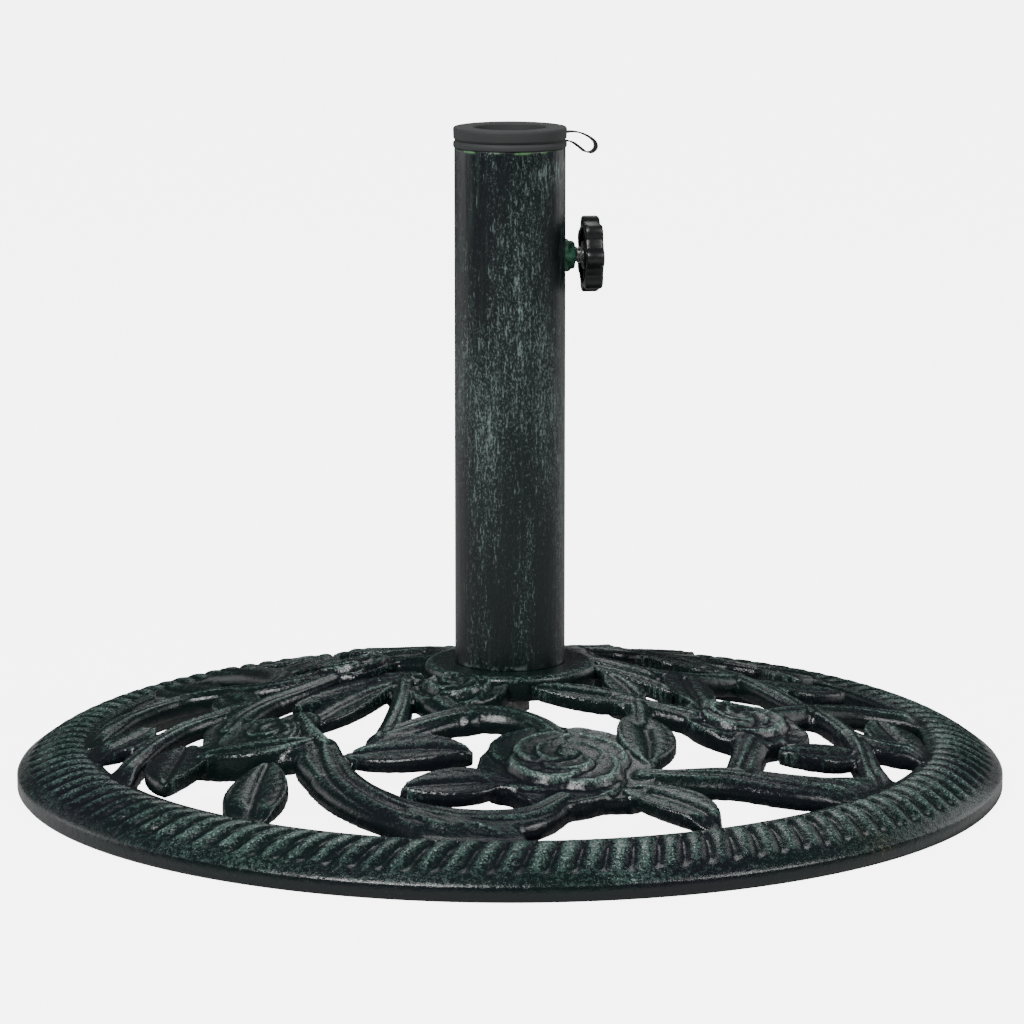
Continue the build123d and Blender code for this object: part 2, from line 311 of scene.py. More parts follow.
@dataclass(frozen=True)
class BrushedTubePaint:
    """Near-black green paint with vertical dry-brush streaks of pale green."""

    name: str = "brushed_tube_paint"
    dark: Colour = (0.004, 0.006, 0.009)
    green: Colour = (0.003, 0.009, 0.009)
    streak: Colour = (0.014, 0.032, 0.030)
    pale: Colour = (0.20, 0.27, 0.25)
    chip: Colour = (0.13, 0.30, 0.13)
    foot_z: float = 0.058
    top_z: float = 0.3085

    def build(self) -> bpy.types.Material:
        """Make the material.

        Returns:
            The material.
        """
        ink = Ink(self.name)
        tall = (1.0, 1.0, 0.10)
        long_streaks = ink.noise(620.0, 3.0, 0.6, stretch=(1.0, 1.0, 0.045))
        dashes = ink.noise(1000.0, 3.0, 0.7, stretch=(1.0, 1.0, 0.16), shift=5.0)
        specks = ink.noise(1400.0, 3.0, 0.8, stretch=(1.0, 1.0, 0.5), shift=9.0)
        patches = ink.noise(60.0, 3.0, 0.6, stretch=(1.0, 1.0, 0.16), shift=2.0)
        height = (ink.axis("Z") - self.foot_z) / (self.top_z - self.foot_z)
        middle = 1.0 - (height - 0.5).absolute() * 1.25
        cover = (patches.step(0.30, 0.70) * 0.6 + middle * 0.65 - 0.24).clamped()
        streaks = (long_streaks + cover * 0.15).step(0.58, 0.78)
        dabs = (dashes + cover * 0.14).step(0.65, 0.76)
        dots = (specks + cover * 0.17).step(0.65, 0.76)
        body = ink.mix(ink.noise(14.0, 2.0, 0.5, stretch=tall).step(0.35, 0.65), self.dark, self.green)
        colour = ink.mix(streaks * 0.55, body, self.streak)
        fan = height.step(0.91, 0.96) * height.step(0.99, 0.965) * ink.axis("X").step(0.004, 0.020)
        swept = fan * (dashes + specks * 0.4).step(0.66, 0.80)
        marks = ((dabs * 0.55 + dots * 0.6) * cover.step(0.0, 0.5) + swept * 0.7).clamped()
        colour = ink.mix(marks, colour, self.pale)
        lip = ink.axis("Z").step(self.top_z - 0.0016, self.top_z - 0.0004)
        chipped = lip * ink.noise(120.0, 4.0, 0.7, shift=4.0).step(0.50, 0.60)
        colour = ink.mix(chipped * 0.8, colour, self.chip)
        seam = ink.axis("Z").step(self.foot_z + 0.0030, self.foot_z + 0.0012)
        flaked = seam * ink.noise(240.0, 4.0, 0.7, shift=6.0).step(0.52, 0.60)
        colour = ink.mix(flaked * 0.45, colour, self.pale)
        grain = long_streaks * 0.7 + specks * 0.3
        rough = 0.24 + long_streaks * 0.14 + streaks * 0.15
        return ink.finish(Base_Color=colour, Roughness=rough, Metallic=0.0, IOR=1.5,
                          Normal=ink.bump(grain, 0.0003))


@dataclass(frozen=True)
class NutPaint:
    """Thick green paint on the nut, worn to dark metal at its edges."""

    name: str = "green_nut_paint"
    green: Colour = (0.085, 0.260, 0.165)
    deep: Colour = (0.020, 0.085, 0.055)
    bare: Colour = (0.30, 0.32, 0.31)
    wear_starts: float = 0.2518
    wear_full: float = 0.2493

    def build(self) -> bpy.types.Material:
        """Make the material.

        Returns:
            The material.
        """
        ink = Ink(self.name)
        cloud = ink.noise(170.0, 4.0, 0.6)
        fine = ink.noise(900.0, 4.0, 0.6, shift=2.0)
        colour = ink.mix(cloud.step(0.40, 0.62), self.deep, self.green)
        under = ink.axis("Z").step(self.wear_starts, self.wear_full)
        worn = (under * 0.7 + fine - 0.35).step(0.45, 0.75)
        colour = ink.mix(worn * 0.55, colour, self.bare)
        return ink.finish(Base_Color=colour, Roughness=0.34 + fine * 0.2, Metallic=worn * 0.5,
                          Normal=ink.bump(cloud + fine * 0.4, 0.0004))


@dataclass(frozen=True)
class ZincPlate:
    """Bright zinc plate with faint clouding."""

    name: str = "zinc_plate"
    bright: Colour = (0.62, 0.63, 0.61)
    dull: Colour = (0.36, 0.38, 0.37)

    def build(self) -> bpy.types.Material:
        """Make the material.

        Returns:
            The material.
        """
        ink = Ink(self.name)
        cloud = ink.noise(300.0, 4.0, 0.6)
        colour = ink.mix(cloud.step(0.35, 0.65), self.bright, self.dull)
        return ink.finish(Base_Color=colour, Roughness=0.22 + cloud * 0.25, Metallic=1.0,
                          Normal=ink.bump(ink.noise(1500.0, 3.0), 0.00005))


@dataclass(frozen=True)
class Moulded:
    """Dark moulded plastic with a fine skin and slight rubbing."""

    name: str
    colour: Colour
    rubbed: Colour
    rough: float = 0.42
    skin: float = 0.00006
    shine: float = 0.5

    def build(self) -> bpy.types.Material:
        """Make the material.

        Returns:
            The material.
        """
        ink = Ink(self.name)
        skin = ink.noise(2200.0, 3.0, 0.6)
        cloud = ink.noise(60.0, 4.0, 0.6, shift=3.0)
        scuff = (ink.noise(500.0, 4.0, 0.7, shift=8.0) + cloud * 0.3).step(0.72, 0.86)
        colour = ink.mix((cloud.step(0.3, 0.7) * 0.35 + scuff * 0.5).clamped(), self.colour, self.rubbed)
        rough = self.rough + cloud * 0.12 - 0.06 + scuff * 0.1
        return ink.finish(Base_Color=colour, Roughness=rough, Metallic=0.0, IOR=1.48,
                          Specular_IOR_Level=self.shine, Normal=ink.bump(skin, self.skin))


@dataclass(frozen=True)
class PaleFloor:
    """Plain pale studio floor that looks bright itself but throws no light of its own on the object."""

    name: str = "pale_floor"
    colour: Colour = (0.50, 0.50, 0.50)
    glow: Colour = (1.0, 1.0, 1.0)
    strength: float = 5.8

    def build(self) -> bpy.types.Material:
        """Make the material.

        Returns:
            The material.
        """
        ink = Ink(self.name)
        tone = ink.mix(ink.noise(2.0, 2.0), self.colour, tuple(c * 0.985 for c in self.colour))
        seen = ink.node("ShaderNodeLightPath", {}, {}, "Is Camera Ray")
        glow = ink.mix(seen, (0.0, 0.0, 0.0), self.glow)
        return ink.finish(Base_Color=tone, Roughness=0.9, Emission_Color=glow,
                          Emission_Strength=self.strength)


class Finish(Enum):
    """The finishes of the object, each made once."""

    IRON = AntiquePaint()
    TUBE = BrushedTubePaint()
    NUT = NutPaint()
    ZINC = ZincPlate()
    KNOB = Moulded("black_knob_plastic", (0.006, 0.0065, 0.007), (0.018, 0.020, 0.021), 0.34)
    RING = Moulded("ring_plastic", (0.006, 0.007, 0.009), (0.018, 0.021, 0.024), 0.34, 0.00005, 0.22)
    STRAP = Moulded("strap_plastic", (0.008, 0.009, 0.010), (0.024, 0.026, 0.027), 0.45, 0.00005, 0.3)
    PAD = Moulded("pad_plastic", (0.04, 0.04, 0.04), (0.09, 0.09, 0.09), 0.5)
    STEEL = ZincPlate("bare_steel", (0.30, 0.29, 0.28), (0.16, 0.15, 0.14))
    FLOOR = PaleFloor()

    @property
    def material(self) -> bpy.types.Material:
        """The finish's material, built when it is first used."""
        return bpy.data.materials.get(self.value.name) or self.value.build()


# ---------------------------------------------------------------- mesh tools


def make_piece(name: str, points: Array, faces: Iterable[Sequence[int]], finish: Finish,
               crease: float = 40.0) -> bpy.types.Object:
    """Make a smooth-shaded object from points in millimetres.

    Args:
        name: the piece's name.
        points: vertices, one row each, in millimetres.
        faces: vertex numbers of each face, anticlockwise from outside.
        finish: the finish it takes.
        crease: edges sharper than this angle, in degrees, stay sharp.

    Returns:
        The new object, at the origin.
    """
    mesh = bpy.data.meshes.new(name)
    mesh.from_pydata((np.asarray(points, float) * MM).tolist(), [], [list(face) for face in faces])
    mesh.validate()
    mesh.update()
    mesh.shade_smooth()
    mesh.set_sharp_from_angle(angle=math.radians(crease))
    mesh.materials.append(finish.material)
    made = bpy.data.objects.new(name, mesh)
    bpy.context.scene.collection.objects.link(made)
    return made


def keep_result(piece: bpy.types.Object) -> None:
    """Replace a piece's mesh by what its modifiers make of it, and remove the modifiers.

    Args:
        piece: the object to settle.
    """
    evaluated = piece.evaluated_get(bpy.context.evaluated_depsgraph_get())
    mesh = bpy.data.meshes.new_from_object(evaluated)
    piece.modifiers.clear()
    piece.data = mesh


def settle(piece: bpy.types.Object, body: str, slot: str, *nodes: str) -> None:
    """Put a finished piece on its body.

    Args:
        piece: the finished object.
        body: the body it rides on.
        slot: the record's material slot; not used.
        nodes: the CAD nodes it stands for.
    """
    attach(piece, body)
    if nodes:
        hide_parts(*nodes)
    log.info("%s: %d faces on %s", piece.name, len(piece.data.polygons), body)


def turned_grid(rings: Sequence[Point], around: int, swell: Callable[[int, Array], Array] | None = None,
                closed: bool = True) -> tuple[Array, list[tuple[int, ...]]]:
    """A surface turned about Z from rings of radius and height.

    Args:
        rings: radius and height of each ring, in order along the profile, material on the left going round.
        around: how many points each ring has.
        swell: gives the radius factors of a ring from its number and the angles.
        closed: join the last ring to the first; otherwise both ends are capped with a flat face.

    Returns:
        Points and faces, facing outwards for a profile that runs anticlockwise in the radius-height plane.
    """
    angles = np.arange(around) * 2 * math.pi / around
    points = []
    for number, (radius, height) in enumerate(rings):
        radii = radius * (swell(number, angles) if swell else np.ones(around))
        level = np.full(around, height)
        points.append(np.column_stack([radii * np.cos(angles), radii * np.sin(angles), level]))
    faces: list[tuple[int, ...]] = []
    count = len(rings)
    for k in range(count if closed else count - 1):
        low, high = k * around, (k + 1) % count * around
        for i in range(around):
            j = (i + 1) % around
            faces.append((low + i, low + j, high + j, high + i))
    if not closed:
        faces.append(tuple(reversed(range(around))))
        faces.append(tuple(range((count - 1) * around, count * around)))
    return np.vstack(points), faces


def rounded(profile: Sequence[Point], radius: float, steps: int = 3) -> list[Point]:
    """Round every corner of a closed profile.

    Args:
        profile: its corners.
        radius: the largest cut back from a corner.
        steps: points on each rounding, less one.

    Returns:
        The rounded profile.
    """
    done: list[Point] = []
    for i, corner in enumerate(profile):
        before, after = Vector(profile[i - 1]), Vector(profile[(i + 1) % len(profile)])
        here = Vector(corner)
        cut = min(radius, (before - here).length * 0.45, (after - here).length * 0.45)
        start, end = here + (before - here).normalized() * cut, here + (after - here).normalized() * cut
        for k in range(steps + 1):
            t = k / steps
            spot = start * (1 - t) ** 2 + here * 2 * t * (1 - t) + end * t * t
            done.append((spot.x, spot.y))
    return done


def strip_faces(first: int, bands: int, around: int) -> list[tuple[int, ...]]:
    """Faces between rows of points that are each a closed ring.

    Args:
        first: number of the first row's first point.
        bands: how many bands of faces there are.
        around: points in a row.

    Returns:
        The faces, band by band.
    """
    faces: list[tuple[int, ...]] = []
    for k in range(bands):
        a, b = first + k * around, first + (k + 1) * around
        faces += [(a + i, b + i, b + (i + 1) % around, a + (i + 1) % around) for i in range(around)]
    return faces


def spun_about_x(points: Array, start: float, level: float) -> Array:
    """Points turned about Z laid along X instead.

    Args:
        points: rows whose Z is the distance along the axis.
        start: where distance 0 lies on X.
        level: height of the axis.

    Returns:
        The moved points.
    """
    return np.column_stack([start + points[:, 2], -points[:, 1], level + points[:, 0]])


def smooth_step(values: Array, low: float, high: float) -> Array:
    """Smooth step on arrays.

    Args:
        values: the numbers to step.
        low: value that gives 0.
        high: value that gives 1, and may be below low.

    Returns:
        The stepped numbers.
    """
    t = np.clip((values - low) / (high - low), 0, 1)
    return t * t * (3 - 2 * t)


def smooth_max(first: Array, second: Array, reach: float) -> Array:
    """The larger of two surfaces, with the corner between them filled.

    Args:
        first: heights of one surface.
        second: heights of the other.
        reach: difference in height up to which the corner is filled.

    Returns:
        Heights of the joined surface.
    """
    near = np.clip(reach - np.abs(first - second), 0, None) / reach
    return np.maximum(first, second) + near * near * reach / 4


# ---------------------------------------------------------------- the ornament's drawing


@dataclass(frozen=True)
class Stem:
    """A vine drawn by its centre line and its widths, which are spread evenly along it."""

    points: tuple[Point, ...]
    widths: tuple[float, ...]

    def centre_line(self, steps: int = 10) -> Array:
        """Points on a smooth curve through the drawn ones.

        Args:
            steps: pieces that each span is cut into.

        Returns:
            One row a point.
        """
        drawn = np.array(self.points, float)
        drawn = np.vstack([2 * drawn[0] - drawn[1], drawn, 2 * drawn[-1] - drawn[-2]])
        rows = []
        for p0, p1, p2, p3 in zip(drawn, drawn[1:], drawn[2:], drawn[3:]):
            t = np.linspace(0, 1, steps, endpoint=False)[:, None]
            bend = (2 * p0 - 5 * p1 + 4 * p2 - p3) * t + (3 * p1 - p0 - 3 * p2 + p3) * t * t
            rows.append(p1 + 0.5 * t * (p2 - p0 + bend))
        return np.vstack(rows + [drawn[-2:-1]])


@dataclass(frozen=True)
class Leaf:
    """A pointed leaf: base, tip, width, and its bow to the left of the line from base to tip."""

    base: Point
    tip: Point
    width: float
    bow: float


@dataclass(frozen=True)
class Rose:
    """A rose: centre, radius, and the turn of its petals in degrees."""

    centre: Point
    radius: float
    turn: float


STEMS = {
    "west_sweep": Stem(((-190, -104), (-180, -78), (-171, -50), (-158, -28), (-142, -16), (-128, -10)),
                       (26, 15, 14, 14, 15, 18)),
    "west_branch": Stem(((-135, -52), (-131, -32), (-121, -12), (-104, 4), (-90, 22)), (16, 18, 18, 17, 18)),
    "bud_stalk": Stem(((-146, -74), (-128, -86), (-108, -92), (-90, -98)), (12, 16, 18, 20)),
    "trunk": Stem(((-90, -92), (-86, -112), (-79, -136), (-66, -158), (-46, -178), (-18, -188), (8, -184),
                   (24, -165)), (20, 21, 24, 25, 26, 25, 21, 14)),
    "trunk_root": Stem(((-44, -180), (-24, -196), (-4, -205)), (26, 31, 24)),
    "leaf_j_stalk": Stem(((-96, -98), (-94, -114), (-88, -132)), (10, 10, 8)),
    "arch_to_rose": Stem(((-58, -92), (-42, -80), (-22, -71), (-2, -73), (14, -84), (22, -96)),
                         (20, 19, 17, 15, 15, 15)),
    "arch_link": Stem(((-52, -18), (-52, -45), (-54, -70), (-56, -88)), (12, 11, 14, 18)),
    "rose_c_link": Stem(((-34, -54), (-28, -64), (-20, -74)), (16, 15, 14)),
    "east_link": Stem(((54, -46), (66, -48), (88, -52)), (14, 15, 18)),
    "leaf_q_link": Stem(((60, -46), (61, -60), (62, -76)), (14, 14, 14)),
    "rose_b_neck": Stem(((114, -74), (111, -96), (108, -120)), (18, 16, 18)),
    "east_vine": Stem(((62, -136), (82, -132), (104, -126), (128, -126), (150, -122), (180, -116)),
                      (14, 18, 23, 27, 28, 44)),
    "east_riser": Stem(((176, -116), (170, -88), (168, -64), (164, -40), (157, -20), (148, -2)),
                       (24, 14, 13, 13, 14, 15)),
    "east_arm": Stem(((124, -30), (138, -12), (152, 2), (170, 16), (198, 28)), (16, 16, 17, 16, 20)),
    "leaf_w_root": Stem(((162, -36), (176, -46), (196, -44)), (12, 16, 22)),
    "north_east_sweep": Stem(((34, 128), (62, 126), (84, 100), (102, 70), (120, 42), (136, 12), (146, -8)),
                             (16, 17, 17, 17, 17, 16, 16)),
    "boss_north_east": Stem(((30, 34), (62, 14), (84, 20), (104, 38), (114, 56)), (18, 16, 15, 15, 16)),
    "rim_link_north_east": Stem(((82, 104), (108, 120), (134, 118), (164, 134)), (16, 16, 16, 26)),
    "north_vine": Stem(((20, 34), (30, 80), (34, 128), (48, 166), (54, 208)), (18, 17, 18, 17, 28)),
    "north_west_vine": Stem(((-22, 34), (-26, 78), (-40, 120), (-66, 152), (-86, 194)), (18, 16, 17, 17, 28)),
    "rose_d_link": Stem(((-56, 34), (-30, 22)), (14, 18)),
    "rose_d_back": Stem(((-74, 62), (-62, 94), (-44, 120)), (14, 14, 18)),
    "north_west_sweep": Stem(((-204, -16), (-188, 18), (-168, 40), (-144, 42), (-122, 30), (-94, 36)),
                             (22, 14, 14, 14, 15, 20)),
    "north_west_rim": Stem(((-116, 32), (-114, 60), (-126, 94), (-146, 124), (-160, 142)),
                           (14, 15, 16, 18, 30)),
}

LEAVES = {
    "leaf_c": Leaf((-42, -20), (-66, -6), 17, 0.05),
    "leaf_e": Leaf((-94, -64), (-56, -27), 23, 0.14),
    "leaf_e0": Leaf((-50, -16), (-105, -34), 24, -0.24),
    "leaf_f": Leaf((-76, -110), (-17, -120), 31, 0.18),
    "leaf_g": Leaf((-2, -148), (-50, -156), 30, -0.08),
    "leaf_j": Leaf((-118, -176), (-112, -108), 30, 0.04),
    "leaf_l": Leaf((-154, -62), (-160, -120), 30, 0.0),
    "leaf_n": Leaf((-202, -52), (-172, -22), 30, -0.1),
    "leaf_q": Leaf((60, -64), (64, -124), 28, 0.08),
    "leaf_r": Leaf((52, -150), (95, -188), 28, 0.24),
    "leaf_s": Leaf((68, -46), (10, -44), 21, 0.05),
    "leaf_t": Leaf((60, -46), (46, -12), 19, -0.12),
    "leaf_t2": Leaf((36, 4), (78, -28), 16, 0.2),
    "leaf_t3": Leaf((34, 18), (72, 2), 16, 0.1),
    "leaf_u": Leaf((166, -66), (126, -90), 24, 0.12),
    "leaf_w": Leaf((194, -52), (179, -4), 29, 0.06),
    "leaf_x": Leaf((92, -38), (84, 26), 25, 0.05),
    "leaf_west": Leaf((-128, -12), (-141, 18), 24, 0.0),
    "leaf_north_west_1": Leaf((-114, 58), (-88, 106), 28, 0.1),
    "leaf_north_west_2": Leaf((-138, 116), (-98, 142), 27, -0.1),
    "leaf_north_west_3": Leaf((-146, 42), (-176, 82), 30, 0.1),
    "leaf_north_1": Leaf((-26, 84), (8, 104), 24, 0.1),
    "leaf_north_2": Leaf((-44, 128), (-92, 136), 25, -0.1),
    "leaf_north_east_1": Leaf((106, 66), (62, 62), 27, 0.1),
    "leaf_north_east_2": Leaf((122, 36), (168, 62), 29, -0.1),
    "leaf_north_east_3": Leaf((132, 118), (146, 74), 27, 0.1),
    "leaf_north_east_4": Leaf((64, 122), (96, 168), 29, 0.1),
}

ROSES = {
    "rose_a": Rose((27, -128), 42, -100),
    "rose_b": Rose((112, -50), 30, -20),
    "rose_c": Rose((-24, -38), 23, 35),
    "rose_d": Rose((-77, 42), 26, 80),
    "rose_north": Rose((4, 160), 33, 10),
}

BUD_OUTLINE = ((-147, -78), (-144, -56), (-135, -40), (-124, -35), (-113, -41), (-104, -54), (-97, -68),
               (-91, -82), (-87, -98), (-102, -102), (-122, -102), (-138, -98))


# ---------------------------------------------------------------- the casting


@dataclass
class Relief:
    """A square field of heights over the ornament's plan, and what is metal in it.

    side is the distance inside the outline, below 0 outside it. top is the upper surface's height.
    """

    half: float = 211.0
    pitch: float = 0.95
    edge_drop: float = 6.0
    fillet: float = 2.2
    dome_edge: Point = (207.0, 21.0)
    dome_hub: Point = (38.0, 54.3)
    axis: Array = field(init=False)
    x: Array = field(init=False)
    y: Array = field(init=False)
    radius: Array = field(init=False)
    dome: Array = field(init=False)
    side: Array = field(init=False)
    top: Array = field(init=False)
    depth: Array = field(init=False)

    def __post_init__(self) -> None:
        """Lay out the empty field."""
        count = int(2 * self.half / self.pitch) + 1
        self.axis = (np.arange(count) - (count - 1) / 2) * self.pitch
        self.x, self.y = np.meshgrid(self.axis, self.axis)
        self.radius = np.hypot(self.x, self.y)
        run = self.dome_edge[0] - self.dome_hub[0]
        slope = (self.dome_hub[1] - self.dome_edge[1]) / run
        self.dome = self.dome_edge[1] + (self.dome_edge[0] - self.radius) * slope
        self.side = np.full(self.x.shape, -50.0)
        self.top = self.dome - 30.0
        self.depth = np.zeros(self.x.shape)

    def window(self, points: Array, reach: float) -> tuple[slice, slice]:
        """Part of the field around some points.

        Args:
            points: one row a point.
            reach: how far past them the part goes, in millimetres.

        Returns:
            Row and column slices.
        """
        low = np.searchsorted(self.axis, points.min(axis=0) - reach)
        high = np.searchsorted(self.axis, points.max(axis=0) + reach)
        return slice(low[1], high[1]), slice(low[0], high[0])

    def add(self, part: tuple[slice, slice], side: Array, rise: Array, depth: float,
            blend: float = 0.8) -> None:
        """Join one feature to the field.

        Args:
            part: its window.
            side: distance inside its outline.
            rise: height over the dome, where it is inside.
            depth: thickness of metal below the dome.
            blend: how far the corner with what is there already is filled.
        """
        fallen = self.dome[part] + rise + np.minimum(side, 0.0) * self.edge_drop
        self.top[part] = smooth_max(self.top[part], fallen, blend)
        self.side[part] = smooth_max(self.side[part], side, self.fillet)
        self.depth[part] = np.maximum(self.depth[part], np.where(side > -1.0, depth, 0.0))


@dataclass
class VineCarver:
    """Carves round, fluted vines."""

    relief: Relief
    edge: float = -2.6
    crown: float = 5.0
    flute: float = 0.75
    flutes: float = 1.6
    twist: float = 0.035
    depth: float = 7.5

    def carve(self, stem: Stem, seed: int) -> None:
        """Carve one vine.

        Args:
            stem: its drawing.
            seed: number that varies its flutes.
        """
        line = stem.centre_line()
        half = np.interp(np.linspace(0, 1, len(line)), np.linspace(0, 1, len(stem.widths)), stem.widths) / 2
        part = self.relief.window(line, half.max() + 4)
        x, y = self.relief.x[part], self.relief.y[part]
        best = np.full(x.shape, 1e9)
        across, along, wide = np.zeros(x.shape), np.zeros(x.shape), np.ones(x.shape)
        travelled = 0.0
        for p, q, half_p, half_q in zip(line, line[1:], half, half[1:]):
            step = q - p
            length = float(np.hypot(*step))
            t = np.clip(((x - p[0]) * step[0] + (y - p[1]) * step[1]) / length ** 2, 0, 1)
            dx, dy = x - p[0] - t * step[0], y - p[1] - t * step[1]
            gap = np.hypot(dx, dy)
            near = gap < best
            best = np.where(near, gap, best)
            across = np.where(near, gap * np.sign(step[0] * dy - step[1] * dx), across)
            along = np.where(near, travelled + t * length, along)
            wide = np.where(near, half_p + t * (half_q - half_p), wide)
            travelled += length
        bite = 1 - np.clip((wide - best) / wide, 0, 1)
        phase = across / wide * self.flutes * math.pi + along * self.twist + seed * 1.7
        grain = np.cos(phase * 2) * 0.7 + np.cos(phase * 4.6 + along * 0.05 + seed) * 0.3
        rise = self.edge + self.crown * np.sqrt(np.clip(1 - bite ** 2.2, 0, 1))
        rise = rise + self.flute * grain * (1 - bite ** 3)
        self.relief.add(part, wide - best, rise, self.depth)


@dataclass
class LeafCarver:
    """Carves thin leaves with puffed halves, a midrib and oblique veins."""

    relief: Relief
    edge: float = -0.6
    puff: float = 2.6
    lip: float = 0.9
    valley: float = 1.6
    rib: float = 1.2
    vein: float = 0.28
    vein_pitch: float = 7.5
    depth: float = 4.6

    def carve(self, leaf: Leaf, seed: int) -> None:
        """Carve one leaf.

        Args:
            leaf: its drawing.
            seed: number that varies its lift.
        """
        base, tip = np.array(leaf.base, float), np.array(leaf.tip, float)
        length = float(np.hypot(*(tip - base)))
        ahead = (tip - base) / length
        part = self.relief.window(np.vstack([base, tip]), leaf.width + 4)
        dx, dy = self.relief.x[part] - base[0], self.relief.y[part] - base[1]
        s = (dx * ahead[0] + dy * ahead[1]) / length
        inner = np.clip(s, 0.0, 1.0)
        away = -dx * ahead[1] + dy * ahead[0] - 2 * leaf.bow * length * inner * (1 - inner)
        half = leaf.width / 2 * np.maximum(0.2 * (1 - inner), np.sin(math.pi * inner ** 0.85) ** 0.72)
        side = half - np.abs(away) - length * np.maximum(0.0, np.maximum(-s, s - 1))
        share = np.clip(np.abs(away) / np.maximum(half, 0.5), 0, 1)
        rise = self.edge + self.puff * np.sin(math.pi * (0.1 + 0.72 * share)) ** 0.9
        rise = rise + self.lip * smooth_step(share, 0.80, 0.93) * smooth_step(share, 1.05, 0.96)
        rise = rise - self.valley * np.exp(-(away / 1.9) ** 2) + self.rib * np.exp(-(away / 0.75) ** 2)
        vein = np.cos(2 * math.pi * (s * length - np.abs(away) * 0.9) / self.vein_pitch)
        rise = rise - (self.vein * np.clip(vein, 0.2, 1) * smooth_step(share, 0.08, 0.3)
                       * smooth_step(share, 1, 0.8))
        lift = 1.2 * math.sin(seed * 2.3) * (inner - 0.5) + 1.5 * inner ** 2
        self.relief.add(part, side, rise + lift, self.depth, blend=0.4)


@dataclass
class RoseCarver:
    """Carves an open rose: rings of overlapping cupped petals round a rolled heart."""

    relief: Relief
    depth: float = 8.0
    rings: tuple[tuple[int, float, float, float, float], ...] = (
        (5, 0.44, 0.60, -0.6, 2.6),
        (4, 0.27, 0.40, 3.4, 2.8),
        (3, 0.15, 0.25, 4.4, 2.4),
    )
    heart: float = 0.12
    heart_rise: float = 6.6
    full_radius: float = 42.0

    def carve(self, rose: Rose) -> None:
        """Carve one rose.

        Args:
            rose: its drawing.
        """
        centre = np.array([rose.centre], float)
        part = self.relief.window(centre, rose.radius * 1.1 + 4)
        dx, dy = self.relief.x[part] - rose.centre[0], self.relief.y[part] - rose.centre[1]
        scale = rose.radius / self.full_radius
        disc = 0.7 * rose.radius - np.hypot(dx, dy)
        self.relief.add(part, disc, np.full(dx.shape, -3.0), self.depth)
        for ring, (petals, out, size, level, cup) in enumerate(self.rings):
            for k in range(petals):
                angle = math.radians(rose.turn + 360 * (k + 0.5 * ring) / petals)
                self._petal(part, dx, dy, rose.radius, angle, out, size, level * (0.5 + scale / 2), cup, k)
        self._heart(part, dx, dy, rose)

    def _petal(self, part: tuple[slice, slice], dx: Array, dy: Array, radius: float, angle: float, out: float,
               size: float, level: float, cup: float, order: int) -> None:
        """One petal, a cupped disc with a rolled lip, tilted so that one side slips under its neighbour.

        Args:
            part: the rose's window.
            dx: distances from the rose's centre along X.
            dy: distances from the rose's centre along Y.
            radius: the rose's radius.
            angle: where the petal lies, in radians.
            out: its distance out, as a share of the radius.
            size: its own radius, as a share of the rose's.
            level: height of its floor.
            cup: height of its lip over its floor.
            order: its number, which varies its outline.
        """
        ux, uy = math.cos(angle), math.sin(angle)
        px, py = dx - out * radius * ux, dy - out * radius * uy
        outward, around = px * ux + py * uy, -px * uy + py * ux
        reach = size * radius
        wave = 1 + 0.05 * np.cos(3 * np.arctan2(around, outward) + order)
        share = np.hypot(outward / 1.0, around / 1.12) / (reach * wave)
        side = (1 - share) * reach
        lip = np.clip(share, 0, 1) ** 5
        roll = smooth_step(share, 1.0, 0.93)
        rise = level + cup * lip * (0.6 + 0.4 * outward / reach) - 1.1 * (1 - roll) + 1.1 * around / reach
        rise = rise + 0.22 * np.cos(np.arctan2(around, outward + reach) * 22) * np.clip(share, 0, 0.85)
        self.relief.add(part, side, rise, self.depth, blend=0.25)

    def _heart(self, part: tuple[slice, slice], dx: Array, dy: Array, rose: Rose) -> None:
        """The rolled heart, a spiral ridge.

        Args:
            part: the rose's window.
            dx: distances from the rose's centre along X.
            dy: distances from the rose's centre along Y.
            rose: its drawing.
        """
        away = np.hypot(dx, dy)
        reach = self.heart * rose.radius
        spiral = np.cos(np.arctan2(dy, dx) + 2 * math.pi * away / (0.42 * reach) - math.radians(rose.turn))
        rise = self.heart_rise * rose.radius / self.full_radius + 0.8 * spiral + 0.5 * (1 - away / reach)
        self.relief.add(part, reach - away, rise, self.depth, blend=0.25)


